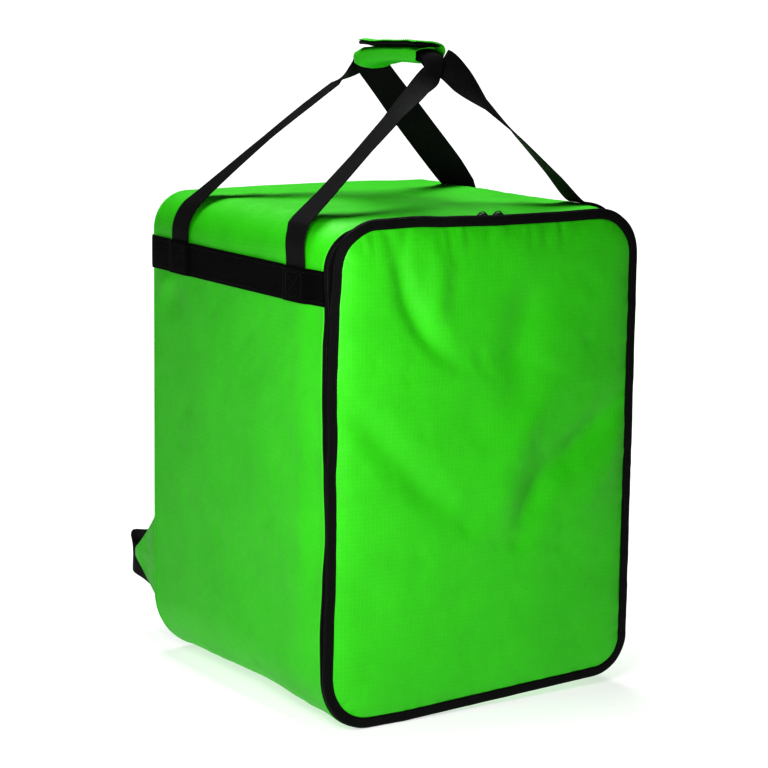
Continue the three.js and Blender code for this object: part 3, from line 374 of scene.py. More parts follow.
# A slider's levels: how far up and how large, as shares
SLIDER_LEVELS = ((0, 0.86), (0.1, 0.96), (0.3, 1), (0.7, 0.92), (0.9, 0.74), (1, 0.45))

# Loop of the adjusting webbing past the wing's tip: how far in from the tip, back and up from it, and
# the way that its width lies, sideways and up
ADJUSTER_LOOP = [
    {"inward": 4, "back": 15, "up": 5, "way": (0, 1)},
    {"inward": 16, "back": 22, "up": 15, "way": (-0.35, 0.94)},
    {"inward": 36, "back": 12, "up": 38, "way": (-0.9, 0.45)},
]

# Box stitch with a cross: its corners in the order in which they are sewn
BOX_STITCH = ((-1, -1), (1, -1), (1, 1), (-1, 1), (-1, -1), (1, 1), (1, -1), (-1, 1))

HALF_WIDTH = BAG_WIDTH / 2
HALF_DEPTH = WRAP_DEPTH / 2
WRAP_FRONT = WRAP_CENTRE_Y - HALF_DEPTH
WRAP_BACK = WRAP_CENTRE_Y + HALF_DEPTH
ZIP_BACK = WRAP_FRONT - GAP
ZIP_FRONT = ZIP_BACK - ZIP_TAPE_THICKNESS
BINDING_BACK = ZIP_FRONT - GAP
BINDING_FRONT = BINDING_BACK - BINDING_DEPTH
BACK_SEAM = WRAP_BACK + GAP
BACK_FACE = BACK_SEAM + BACK_THICKNESS
WEBBING_LIFT = GAP + WEBBING_THICKNESS / 2
UP = np.array((0.0, 0.0, 1.0))
BACKWARD = np.array((0.0, 1.0, 0.0))


# Plain arithmetic on arrays
def mix(a, b, share):
    """From a to b by a share."""
    return a + (b - a) * share


def ease(share):
    """A share that starts and stops softly: three times its square less twice its cube."""
    return share * share * (3 - 2 * share)


def share_of(value, low, high):
    """How far a value is from low to high, held between 0 and 1."""
    return np.clip((value - low) / (high - low), 0, 1)


def vector(x, y, z):
    """Points from arrays of x, y and z that fit together."""
    return np.stack(np.broadcast_arrays(x, y, z), axis=-1).astype(float)


def unit(v):
    """Directions of length 1."""
    return v / np.maximum(np.linalg.norm(v, axis=-1, keepdims=True), 1e-9)


def run_along(path):
    """Distance along a path of points to each of them."""
    return np.concatenate([[0], np.linalg.norm(np.diff(path, axis=0), axis=-1).cumsum()])


def read_points(at, keys, points):
    """Points at places along a path, on straight lines between its own points."""
    return np.stack([np.interp(at, keys, points[:, k]) for k in range(3)], axis=-1)


def squared(angle, power):
    """Reach of a superellipse: 1 over the root of the powers of its cosine and its sine."""
    return 1 / (np.abs(np.cos(angle)) ** power + np.abs(np.sin(angle)) ** power) ** (1 / power)


def read_table(rows, key, at, column):
    """Value of a column at places along a table, eased from row to row."""
    keys = np.array([row[key] for row in rows], float)
    values = np.array([row[column] for row in rows], float)
    i = np.clip(np.searchsorted(keys, at, side="right") - 1, 0, len(rows) - 2)
    return mix(values[i], values[i + 1], ease(share_of(at, keys[i], keys[i + 1])))


def ripple(a, b, size, seed):
    """Smooth noise from -1 to 1: random heights on a square lattice of the given size, eased between."""
    lattice = np.random.default_rng(seed).uniform(-1, 1, (LATTICE, LATTICE))
    a, b = np.broadcast_arrays(*(np.asarray(way, float) / size + LATTICE / 2 for way in (a, b)))
    i, j = np.floor(a).astype(int), np.floor(b).astype(int)
    s, t = ease(a - i), ease(b - j)
    i, j, next_i, next_j = (k % LATTICE for k in (i, j, i + 1, j + 1))
    near = mix(lattice[i, j], lattice[next_i, j], s)
    far = mix(lattice[i, next_j], lattice[next_i, next_j], s)
    return mix(near, far, t)


def fold_depth(rows, across, up, across_size, up_size, width_unit):
    """Depth of folds: each falls off as a bell away from a smooth curve through its path, and fades
    toward the curve's two ends."""
    depth = 0
    for fold in rows:
        stops = len(fold["path"]) - 1
        steps = FOLD_STEPS * stops
        path = np.pad(np.array(fold["path"]) * (across_size, up_size), ((0, 0), (0, 1)))
        path, _ = curve_through(path, np.linspace(0, stops, steps + 1))
        away, along = np.inf, 0.0
        for k in range(steps):
            step = path[k + 1] - path[k]
            px, py = across * across_size - path[k][0], up * up_size - path[k][1]
            share = np.clip((px * step[0] + py * step[1]) / (step @ step), 0, 1)
            reach = np.hypot(px - share * step[0], py - share * step[1])
            along = np.where(reach < away, (k + share) / steps, along)
            away = np.minimum(reach, away)
        fade = mix(0.3, 1, ease(share_of(np.minimum(along, 1 - along), 0, 0.35)))
        depth = depth + fold["deep"] * fade * np.exp(-(away / (fold["wide"] * width_unit)) ** 2)
    return depth


# Rounded outline and the wrap's own form, with the same formulas as the solids
def outline(shape, inset, marks):
    """Rounded rectangle in XZ. Marks run from 0 to 8: even spans are the straight sides, odd spans the
    corner arcs, from the base's left end round by the right. Gives x, z and the outward normal."""
    radius = {name: np.maximum(size - inset, 1.5) for name, size in shape["corners"].items()}
    right = shape["half_width"] - inset
    low = shape["low"] + inset
    high = shape["high"] - inset
    bl, br = radius["bottom_left"], radius["bottom_right"]
    tl, tr = radius["top_left"], radius["top_right"]
    span = np.floor(marks).astype(int) % 8
    share = marks - np.floor(marks)
    lines = {0: (-right + bl, low, right - br, low, 0, -1), 2: (right, low + br, right, high - tr, 1, 0),
             4: (right - tr, high, -right + tl, high, 0, 1), 6: (-right, high - tl, -right, low + bl, -1, 0)}
    arcs = {1: (right - br, low + br, br, -90), 3: (right - tr, high - tr, tr, 0),
            5: (-right + tl, high - tl, tl, 90), 7: (-right + bl, low + bl, bl, 180)}
    x, z, nx, nz = (0.0,) * 4
    for i, (from_x, from_z, to_x, to_z, out_x, out_z) in lines.items():
        on = span == i
        x = np.where(on, mix(from_x, to_x, share), x)
        z = np.where(on, mix(from_z, to_z, share), z)
        nx = np.where(on, out_x, nx)
        nz = np.where(on, out_z, nz)
    for i, (centre_x, centre_z, r, start) in arcs.items():
        on = span == i
        angle = np.radians(start + 90 * share)
        x = np.where(on, centre_x + r * np.cos(angle), x)
        z = np.where(on, centre_z + r * np.sin(angle), z)
        nx = np.where(on, np.cos(angle), nx)
        nz = np.where(on, np.sin(angle), nz)
    return x, z, nx, nz


def even_marks(shape, pace):
    """Marks round an outline that lie about one pace apart, in step on its left and right, from the
    middle of the base."""
    ends = [point[:2] for point in zip(*outline(shape, 0, np.arange(8.0)))]
    marks = []
    for i in range(8):
        reach = math.dist(ends[i], ends[(i + 1) % 8]) * (ARC_TO_CHORD if i % 2 else 1)
        count = max(2, 2 * round(float(reach) / pace / 2))
        marks.append(i + np.arange(count) / count)
    return np.roll(np.concatenate(marks), -len(marks[0]) // 2)


def base_hitch(x, y, z):
    """The front of the base is hitched up toward the right, less and less upwards and backwards."""
    across = share_of(x, HITCH_START_X, HALF_WIDTH)
    back = ease(1 - share_of(y, WRAP_FRONT, WRAP_FRONT + HITCH_DEPTH))
    return BASE_HITCH * across * back * (1 - share_of(z, 0, BAG_HEIGHT)) ** 2


def settle(points, part="rim"):
    """The front has settled: hitched up at the base, pulled to the right along its left side and down
    along its top, less and less inwards and backwards."""
    x, y, z = points[..., 0], points[..., 1], points[..., 2]
    front = FRONT_PULL * ease(1 - share_of(y, WRAP_FRONT, WRAP_FRONT + FRONT_PULL_DEPTH))
    left = read_table(LEFT_PULLS, "up", z / BAG_HEIGHT, part) * share_of(-x, 0, HALF_WIDTH) ** 2
    top = read_table(TOP_PULLS, "across", x / HALF_WIDTH, part) * share_of(z, BAG_HEIGHT / 2, BAG_HEIGHT) ** 2
    return vector(x + front * left, y, z + base_hitch(x, y, z) - front * top)


def wrap_section(y):
    """The wrap's outline at places along the depth."""
    depth = share_of(y, WRAP_FRONT, WRAP_BACK)
    shoulder = SHOULDER_RADIUS * read_table(WRAP_SECTIONS, "depth", depth, "shoulder")
    base = BASE_RADIUS * read_table(WRAP_SECTIONS, "depth", depth, "base")
    return {
        "half_width": HALF_WIDTH - WRAP_WALL * read_table(WRAP_SECTIONS, "depth", depth, "inset"),
        "low": 0,
        "high": BAG_HEIGHT - TOP_CROWN,
        "corners": {"bottom_left": base, "bottom_right": base, "top_right": shoulder, "top_left": shoulder},
    }


def wrap_swell(x, y, z, nx, nz):
    """The padding swells most in the middle of each side and of the top."""
    along = np.sin(np.pi * share_of(y, WRAP_FRONT, WRAP_BACK))
    side = SIDE_SWELL * np.sin(np.pi * share_of(z, 0, BAG_HEIGHT)) * nx * nx
    crown = TOP_CROWN * np.cos(np.pi * np.clip(x / BAG_WIDTH, -0.5, 0.5)) * np.maximum(nz, 0) ** 2
    return (side + crown) * along


DOOR_SHAPE = {"half_width": HALF_WIDTH, "low": DOOR_BASE_LIFT, "high": BAG_HEIGHT + DOOR_TOP_RISE,
              "corners": DOOR_CORNERS}
FRONT_SHAPE = wrap_section(np.array(WRAP_FRONT, float))
BACK_SHAPE = wrap_section(np.array(WRAP_BACK, float))


def side_place(side, y, z, lift):
    """Point lifted off the wrap's side at a height, round its shoulder where it is that high."""
    section = wrap_section(y)
    radius = section["corners"]["top_left"]
    angle = np.arcsin(np.clip((z - section["high"] + radius) / radius, 0, 1))
    nx, nz = np.cos(angle), np.sin(angle)
    x = section["half_width"] - radius + radius * nx
    out = lift + wrap_swell(x, y, z, nx, nz)
    place = vector(side * (x + out * nx), y, z + out * nz)
    pull = settle(place)[..., 0] - place[..., 0]
    return place + vector(pull, 0, 0)


def shoulder_place(side, y, angle, lift):
    """Point lifted off the shoulder curve at an angle up it."""
    section = wrap_section(y)
    radius = section["corners"]["top_left"]
    nx, nz = math.cos(math.radians(angle)), math.sin(math.radians(angle))
    x = section["half_width"] - radius + radius * nx
    z = section["high"] - radius + radius * nz
    out = lift + wrap_swell(x, y, z, nx, nz)
    return np.array((side * (x + out * nx), y, z + out * nz), float)


def back_swell(x, z):
    """The back swells as half a wave across and half a wave up."""
    across = np.cos(np.pi * np.clip(x / BAG_WIDTH, -0.5, 0.5))
    return BACK_SWELL * across * np.sin(np.pi * share_of(z, 0, BAG_HEIGHT))


def toward_middle(x, z, share):
    """Moves points in XZ by a share of the way to the upright line in the middle of the bag."""
    reach = (BAG_HEIGHT - BAG_WIDTH) / 2
    middle = BAG_HEIGHT / 2 + np.clip(z - BAG_HEIGHT / 2, -reach, reach)
    return mix(x, 0, share), mix(z, middle, share)


def join_middle(rings):
    """Lays both sides of the last ring, drawn in to the upright line, on the places between them."""
    last = rings[-1]
    rings[-1] = (last + np.roll(last[::-1], 1, axis=0)) / 2
    return rings


# Meshes from arrays
def lengths_round(rings, looped):
    """Map of a skin in metres: the distance round each ring and the distance from ring to ring."""
    around = np.linalg.norm(np.roll(rings, -1, axis=1) - rings, axis=-1).cumsum(axis=1)
    around = np.concatenate([np.zeros((len(rings), 1)), around], axis=1)
    closed = np.concatenate([rings, rings[:1]]) if looped else rings
    along = np.linalg.norm(np.diff(closed, axis=0), axis=-1).cumsum(axis=0)
    along = np.concatenate([np.zeros((1, rings.shape[1])), along])
    along = np.concatenate([along, along[:, :1]], axis=1)
    around = np.concatenate([around, around[:1]]) if looped else around
    return np.stack([around, along], axis=-1) * MM


def outward(vertices, quads):
    """True where the faces of a closed mesh point outwards: its signed volume is positive."""
    a, b, c, d = (vertices[quads[:, i]] for i in range(4))
    volume = (a * np.cross(b, c)).sum() + (a * np.cross(c, d)).sum()
    return volume > 0


def flat_map(across, along):
    """Map in metres whose two ways are given for every point of the rings, closed round each ring."""
    uv = np.stack(np.broadcast_arrays(across, along), axis=-1)
    return np.concatenate([uv, uv[:, :1]], axis=1) * MM


def make_piece(name, vertices, quads, uv, finish, nodes=(), weld=0.0):
    """One finished object from corner points in millimetres, four-cornered faces and a map. Points
    nearer to each other than the weld distance become one."""
    if not outward(vertices, quads):
        quads, uv = quads[:, ::-1], uv[:, ::-1]
    mesh = bpy.data.meshes.new(name)
    mesh.vertices.add(len(vertices))
    mesh.vertices.foreach_set("co", (vertices * MM).astype(np.float32).ravel())
    mesh.loops.add(quads.size)
    mesh.loops.foreach_set("vertex_index", quads.astype(np.int32).ravel())
    mesh.polygons.add(len(quads))
    mesh.polygons.foreach_set("loop_start", np.arange(len(quads), dtype=np.int32) * 4)
    mesh.polygons.foreach_set("use_smooth", np.ones(len(quads), bool))
    mesh.uv_layers.new(name="cloth").data.foreach_set("uv", uv.astype(np.float32).ravel())
    mesh.update(calc_edges=True)
    if weld:
        form = bmesh.new()
        form.from_mesh(mesh)
        bmesh.ops.remove_doubles(form, verts=form.verts, dist=weld * MM)
        form.to_mesh(mesh)
        form.free()
    piece = bpy.data.objects.new(name, mesh)
    bpy.context.scene.collection.objects.link(piece)
    mesh.materials.append(finish)
    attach(piece, "root")
    if nodes:
        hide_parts(*nodes)
    return piece


def skin(name, rings, finish, nodes=(), looped=False, caps=None, uv=None):
    """Closed mesh over rings of points: each ring joins the next, and the last the first when looped.
    Open ends close to their middle, or both or the first alone by a strip across a flat ring."""
    rings = np.asarray(rings, float)
    if caps == "middle":
        ends = [np.broadcast_to(ring.mean(axis=0), ring.shape)[None] for ring in (rings[0], rings[-1])]
        rings = np.concatenate([ends[0], rings, ends[1]])
    uv = lengths_round(rings, looped) if uv is None else uv
    uv = np.concatenate([uv, uv[:1]]) if looped and len(uv) == len(rings) else uv
    rows, size = rings.shape[:2]
    i = np.arange(rows if looped else rows - 1)[:, None]
    j = np.arange(size)[None, :]
    corners = ((0, 0), (0, 1), (1, 1), (1, 0))
    quads = np.stack([((i + di) % rows) * size + (j + dj) % size for di, dj in corners], axis=-1)
    places = np.stack([uv[i + di, j + dj] for di, dj in corners], axis=-2)
    quads, places = quads.reshape(-1, 4), places.reshape(-1, 4, 2)
    if caps in ("strip", "first"):
        k = np.arange(size // 2 - 1)
        strip = np.stack([k, k + 1, size - 2 - k, size - 1 - k], axis=-1)
        quads = np.concatenate([quads, strip[:, ::-1]])
        places = np.concatenate([places, uv[0][strip[:, ::-1]]])
    if caps == "strip":
        quads = np.concatenate([quads, strip + (rows - 1) * size])
        places = np.concatenate([places, uv[-1][strip]])
    return make_piece(name, rings.reshape(-1, 3), quads, places, finish, nodes, WELD_REACH)


def rods(name, starts, ends, out, thickness, finish):
    """Many slim rods in one mesh, one from each start to its end: six-sided, thickest and raised by
    half their thickness in the middle, thinner and sunk at both ends."""
    sides = np.arange(ROD_SIDES)
    t = np.linspace(0, 1, ROD_RINGS)[None, :, None, None]
    turn = np.radians(360 / ROD_SIDES * sides)[None, None, :, None]
    along = (ends - starts)[:, None, None, :]
    up = np.broadcast_to(unit(out), starts.shape)[:, None, None, :]
    aside = unit(np.cross(along, up))
    swell = np.sin(np.pi * np.clip(t, 0.08, 0.92)) ** 0.5
    centre = starts[:, None, None, :] + along * t + up * thickness * (0.5 * swell - 0.2)
    vertices = centre + thickness / 2 * swell * (np.cos(turn) * aside + np.sin(turn) * up)
    ring, side = np.meshgrid(np.arange(ROD_RINGS - 1) * ROD_SIDES, sides, indexing="ij")
    after = (side + 1) % ROD_SIDES
    walls = np.stack([ring + side, ring + after, ring + ROD_SIDES + after, ring + ROD_SIDES + side], axis=-1)
    cap = np.array([[0, 1, 2, 3], [0, 3, 4, 5]])
    one = np.concatenate([walls.reshape(-1, 4), cap[:, ::-1], cap + (ROD_RINGS - 1) * ROD_SIDES])
    quads = (np.arange(len(starts))[:, None, None] * ROD_RINGS * ROD_SIDES + one).reshape(-1, 4)
    uv = np.zeros((len(quads), 4, 2))
    return make_piece(name, vertices.reshape(-1, 3), quads, uv, finish)


def stitch_row(path, closed):
    """Starts and ends of the stitches along a path of points, one stitch and one gap after another."""
    path = np.concatenate([path, path[:1]]) if closed else path
    reach = run_along(path)
    begin = np.arange(STITCH_GAP, reach[-1] - STITCH_LENGTH, STITCH_LENGTH + STITCH_GAP)
    starts, ends = (read_points(begin + step, reach, path) for step in (0, STITCH_LENGTH))
    return starts, ends, np.interp(begin, reach, np.arange(len(path)))


def sew(name, rows, finish):
    """One mesh of stitches for several rows, each a path, its outward directions and whether it closes."""
    starts, ends, outs = [], [], []
    for path, out, closed in rows:
        a, b, at = stitch_row(path, closed)
        starts.append(a)
        ends.append(b)
        outs.append(np.broadcast_to(out, path.shape)[np.floor(at).astype(int) % len(path)])
    starts, ends, outs = (np.concatenate(part) for part in (starts, ends, outs))
    return rods(name, starts, ends, outs, STITCH_THICKNESS, finish)


# Smooth paths and ribbons
def curve_through(points, at):
    """Centripetal curve through points at places 0 to their count less one: the places and directions.
    Each stretch is a cubic whose end slopes come from the square roots of the distances round it."""
    points = np.asarray(points, float)
    padded = np.concatenate([2 * points[:1] - points[1:2], points, 2 * points[-1:] - points[-2:-1]])
    i = np.clip(np.floor(at).astype(int), 0, len(points) - 2)
    t = (at - i)[:, None]
    p0, p1, p2, p3 = (padded[i + k] for k in range(4))
    gap = [np.sqrt(np.linalg.norm(b - a, axis=-1, keepdims=True)) for a, b in ((p0, p1), (p1, p2), (p2, p3))]
    m1 = ((p1 - p0) / gap[0] - (p2 - p0) / (gap[0] + gap[1]) + (p2 - p1) / gap[1]) * gap[1]
    m2 = ((p2 - p1) / gap[1] - (p3 - p1) / (gap[1] + gap[2]) + (p3 - p2) / gap[2]) * gap[1]
    c2 = -3 * p1 + 3 * p2 - 2 * m1 - m2
    c3 = 2 * p1 - 2 * p2 + m1 + m2
    return p1 + m1 * t + c2 * t ** 2 + c3 * t ** 3, unit(m1 + 2 * c2 * t + 3 * c3 * t ** 2)


def station(place, side, cup=0, wide=1, thick=1, sheared=0):
    """A stop along a ribbon: where it is, which way its width lies, how far it is cupped in degrees and
    its shares of width and thickness. A sheared one keeps its width's way, square to the path or not."""
    return {"place": np.asarray(place, float), "side": np.asarray(side, float), "cup": cup, "wide": wide,
            "thick": thick, "sheared": sheared}


def ribbon(stations, width, thickness, face, pace, across=12, edge=WEBBING_EDGE):
    """Rings of a ribbon along stations. Its width lies along each station's side direction, cupped by
    bending it as an arc, and its thickness falls toward the edges with the fourth power."""
    places = np.array([s["place"] for s in stations])
    steps = [max(1, round(float(d) / pace)) for d in np.linalg.norm(np.diff(places, axis=0), axis=-1)]
    at = np.concatenate([k + np.arange(n) / n for k, n in enumerate(steps)] + [[len(stations) - 1.0]])
    place, tangent = curve_through(places, at)
    whole = np.arange(len(stations))
    column = {key: np.interp(at, whole, [s[key] for s in stations])[:, None]
              for key in ("cup", "wide", "thick", "sheared")}
    sides = np.array([unit(s["side"]) for s in stations])
    side = read_points(at, whole, sides)
    lean = (side * tangent).sum(axis=-1, keepdims=True)
    side = unit(side - (1 - column["sheared"]) * lean * tangent)
    normal = unit(np.cross(side, tangent)) * face
    s = np.sin(np.pi / 2 * np.linspace(-1, 1, across + 1))[None, :]
    cup = np.maximum(np.radians(column["cup"]), 0.002)
    half = width * column["wide"] / 2
    reach = half * np.sin(s * cup) / cup
    sink = half * (1 - np.cos(s * cup)) / cup
    middle = place[:, None] + side[:, None] * reach[..., None] - normal[:, None] * sink[..., None]
    out = normal[:, None] * np.cos(s * cup)[..., None] + side[:, None] * np.sin(s * cup)[..., None]
    local = thickness * column["thick"] / 2 * mix(edge, 1, 1 - s ** 4)
    top = middle + out * local[..., None]
    bottom = middle - out * local[..., None]
    rings = np.concatenate([top, bottom[:, ::-1]], axis=1)
    run = run_along(place)[:, None]
    wide = half * s + 0 * run
    flat = np.stack([np.concatenate([wide, wide[:, ::-1], wide[:, :1]], axis=1),
                     np.broadcast_to(run, (len(run), rings.shape[1] + 1))], axis=-1) * MM
    return {"rings": rings, "uv": flat, "place": place, "side": side, "normal": normal, "half": half,
            "thick": thickness * column["thick"] / 2}


def ribbon_piece(name, made, finish, nodes=()):
    """One finished object from a ribbon's rings and map."""
    return skin(name, made["rings"], finish, nodes, caps="strip", uv=made["uv"])


# Finishes
class Wire:
    """A node's output in a shader. Arithmetic on it adds the Math nodes."""

    def __init__(self, nodes, socket):
        self.nodes = nodes
        self.socket = socket

    def math(self, operation, *others, flipped=False):
        values = (*others, self) if flipped else (self, *others)
        return self.nodes.add("Math", {"operation": operation}, dict(enumerate(values)))

    def __add__(self, other):
        return self.math("ADD", other)

    def __sub__(self, other):
        return self.math("SUBTRACT", other)

    def __rsub__(self, other):
        return self.math("SUBTRACT", other, flipped=True)

    def __mul__(self, other):
        return self.math("MULTIPLY", other)

    def __truediv__(self, other):
        return self.math("DIVIDE", other)

    __radd__ = __add__
    __rmul__ = __mul__


class Finish:
    """One material: its nodes, its map in millimetres and the shader they end in."""

    def __init__(self, name):
        self.name = name
        self.material = bpy.data.materials.new(name)
        self.material.use_nodes = True
        self.tree = self.material.node_tree
        self.tree.nodes.clear()

    def add(self, kind, settings=None, sockets=None, output=0):
        node = self.tree.nodes.new("ShaderNode" + kind)
        for key, value in (settings or {}).items():
            setattr(node, key, value)
        for key, value in (sockets or {}).items():
            if isinstance(value, Wire):
                self.tree.links.new(value.socket, node.inputs[key])
            else:
                node.inputs[key].default_value = value
        return Wire(self, node.outputs[output])

    def cloth_map(self):
        """Distances across and along a piece, in millimetres."""
        flat = self.add("UVMap", {"uv_map": "cloth"})
        return [self.add("SeparateXYZ", None, {0: flat}, k) * 1000 for k in (0, 1)]

    def place(self):
        return self.add("TexCoord", None, None, "Object")

    def noise(self, size_mm, detail, sockets=None):
        """Noise from 0 to 1 over the object, with clouds of about one size in millimetres."""
        values = {"Vector": self.place(), "Scale": 1000 / size_mm, "Detail": detail, "Roughness": 0.55}
        return self.add("TexNoise", None, {**values, **(sockets or {})}, "Fac")

    def between(self, value, low, high):
        """0 below low and 1 above high, eased."""
        sockets = {"Value": value, "From Min": low, "From Max": high}
        return self.add("MapRange", {"interpolation_type": "SMOOTHSTEP"}, sockets)

    def rib(self, distance, pitch):
        """Rounded ribs from 0 to 1, one in every pitch."""
        return (distance * (2 * math.pi / pitch)).math("SINE") * 0.5 + 0.5

    def line(self, distance, pitch, width):
        """Narrow lines, 1 on the line and 0 off it, one in every pitch."""
        away = ((distance / pitch).math("FRACT") - 0.5).math("ABSOLUTE")
        return 1 - self.between(away, 0, width / pitch)

    def blend(self, share, first, second):
        """One colour where the share is 0 and the other where it is 1."""
        return self.add("Mix", {"data_type": "RGBA"}, {0: share, 6: (*first, 1), 7: (*second, 1)}, 2)

    def tint(self, share):
        """The finish's own dark colour where the share is 0 and its bright one where it is 1."""
        return self.blend(share, *COLOURS[self.name])

    def bump(self, height, distance_mm, strength):
        return self.add("Bump", None, {"Height": height, "Distance": distance_mm * MM, "Strength": strength})

    def shade(self, sockets):
        shader = self.add("BsdfPrincipled", None, sockets)
        end = self.tree.nodes.new("ShaderNodeOutputMaterial")
        self.tree.links.new(shader.socket, end.inputs["Surface"])
        return self.material


def cloth_finish(name, rough, gloss):
    """Coated nylon: a fine plain weave, a ripstop grid of thicker threads, soft creasing whose hollows are
    also painted darker as shade, and a satin gloss that is a little duller where the coating is rubbed."""
    finish = Finish(name)
    across, along = finish.cloth_map()
    threads = finish.line(across, RIPSTOP_PITCH, RIPSTOP_LINE).math(
        "MAXIMUM", finish.line(along, RIPSTOP_PITCH, RIPSTOP_LINE))
    weave = finish.rib(across, WEAVE_PITCH) * finish.rib(along, WEAVE_PITCH)
    clouds = finish.noise(70, 3)
    crease_relief_and_shade = finish.noise(9, 4, {"Distortion": 0.6})
    rubbed = finish.between(finish.noise(24, 5), 0.5, 0.8)
    # The crease noise also lightens the colour on its rises and darkens it in its hollows: painted shade in
    # the creases
    tone = (clouds * 0.6 + crease_relief_and_shade * 0.25 + threads * 0.16 + weave * 0.08).math("MINIMUM", 1)
    height = crease_relief_and_shade * 0.9 + threads * 0.20 + weave * 0.16
    return finish.shade({
        "Base Color": finish.tint(tone), "Roughness": rough + rubbed * 0.06 + weave * 0.04,
        "Specular IOR Level": gloss, "Normal": finish.bump(height, 0.55, 0.6),
    })


def webbing_finish(name, rough, gloss):
    """Webbing: ribs along its length, crossed by the small steps of the weft, with a slight gloss."""
    finish = Finish(name)
    across, along = finish.cloth_map()
    ribs = finish.rib(across, WEBBING_RIB)
    steps = finish.rib(along + across * 0.5, WEFT_PITCH)
    fuzz = finish.noise(1.5, 3)
    worn = finish.between(finish.noise(35, 4), 0.45, 0.75)
    tone = ribs * 0.4 + steps * 0.2 + worn * 0.25 + fuzz * 0.15
    height = ribs * 0.6 + steps * 0.25 + fuzz * 0.15
    return finish.shade({
        "Base Color": finish.tint(tone), "Roughness": rough + worn * 0.1,
        "Specular IOR Level": gloss, "Normal": finish.bump(height, 0.5, 0.8),
    })


def plastic_finish(name):
    """Moulded plastic: a fine grain, and patches that are slightly polished by use."""
    finish = Finish(name)
    grain = finish.noise(0.8, 2)
    polish = finish.between(finish.noise(12, 3), 0.4, 0.7)
    return finish.shade({
        "Base Color": finish.tint(polish), "Roughness": 0.42 - polish * 0.12,
        "Normal": finish.bump(grain, 0.12, 0.5),
    })


def thread_finish(name):
    """Sewing thread: a soft gloss broken by its twist."""
    finish = Finish(name)
    twist = finish.noise(0.6, 2)
    return finish.shade({
        "Base Color": finish.tint(twist), "Roughness": 0.5 + twist * 0.1,
        "Normal": finish.bump(twist, 0.2, 0.6),
    })


def glowing_floor_finish():
    """Pale floor with a painted glow: it emits light, dim in front of the bag and brighter behind it."""
    finish = Finish("pale_floor")
    sockets = {0: finish.place(), 1: FLOOR_GLOW_WAY}
    along = finish.add("VectorMath", {"operation": "DOT_PRODUCT"}, sockets, "Value")
    # Painted glow: the floor's emission rises toward the back of the bag, and this glow also lights the bag
    painted_floor_glow = finish.between(along, *FLOOR_GLOW_STEPS[:2]) * 0.55 + finish.between(along, *FLOOR_GLOW_STEPS[2:]) * 0.45
    return finish.shade({
        "Base Color": (*FLOOR_GREYS_AND_GLOW["base"], 1), "Roughness": 0.8, "Specular IOR Level": 0.1,
        "Emission Color": finish.blend(painted_floor_glow, FLOOR_GREYS_AND_GLOW["dim"], FLOOR_GREYS_AND_GLOW["bright"]),
        "Emission Strength": 1.0,
    })


green_cloth = cloth_finish("green_cloth", rough=0.54, gloss=0.45)
band_webbing = webbing_finish("band_webbing", rough=0.65, gloss=0.1)
strap_webbing = webbing_finish("strap_webbing", rough=0.6, gloss=0.1)
binding_tape = webbing_finish("binding_tape", rough=0.6, gloss=0.2)
black_plastic = plastic_finish("black_plastic")
green_thread = thread_finish("green_thread")
black_thread = thread_finish("black_thread")


# Wrap: a padded strip with rounded rims, creased most where it is folded
def distance_round(shape, marks):
    """Distance round an outline at each mark."""
    x, z = outline(shape, 0, marks)[:2]
    return np.concatenate([[0], np.hypot(np.diff(x), np.diff(z)).cumsum()])


def creasing(along, up, seed):
    """Small hollows of a padded cloth in millimetres, never proud: wide soft ones, short ones and the
    finest crumple, each from its own noise."""
    size, deep = CREASE_SIZES, CREASE_DEPTHS
    wide = 0.5 + 0.5 * ripple(along, up, size["wide"], seed)
    turned = ripple(along * 0.8 + up * 0.6, up * 0.8 - along * 0.6, size["short"], seed + 1)
    fine = 0.5 + 0.5 * ripple(along, up, size["fine"], seed + 2)
    return deep["wide"] * wide + deep["short"] * np.maximum(turned, 0) ** 1.5 + deep["fine"] * fine


def wrap_relief(x, y, z, nx, nz, reach):
    """Depth of the wrap's folds in millimetres: long ones on the top and sides, calm under the band."""
    along = (y - WRAP_CENTRE_Y) / HALF_DEPTH
    up = z / BAG_HEIGHT
    rim = 1 - np.abs(along) ** 20
    below_band = share_of(z, BAND_TOP - BAND_WIDTH, BAND_TOP - 1.3 * BAND_WIDTH)
    top = fold_depth(TOP_FOLDS, x / HALF_WIDTH, along, HALF_WIDTH, HALF_DEPTH, WRAP_WALL)
    depth = np.maximum(nz, 0) ** 2 * top
    for side, rows in ((-1, LEFT_FOLDS), (1, RIGHT_FOLDS)):
        folds = fold_depth(rows, along, up, HALF_DEPTH, BAG_HEIGHT, WRAP_WALL)
        depth = depth + np.maximum(side * nx, 0) ** 2 * below_band * folds
    seam = share_of(np.minimum(reach, reach.max() - reach), 0, BASE_RADIUS / 2)
    return rim * (WRAP_WALL * depth + seam * creasing(y, reach, SEEDS["wrap"]))


def wrap_points(y, inset, marks, folded):
    """The outline at places along the depth, swollen outwards, less its folds on the outside."""
    x, z, nx, nz = outline(wrap_section(y), inset, marks)
    out = wrap_swell(x, y, z, nx, nz)
    if folded:
        out = out - wrap_relief(x, y, z, nx, nz, distance_round(BACK_SHAPE, marks))
    return settle(vector(x + nx * out, y, z + nz * out))


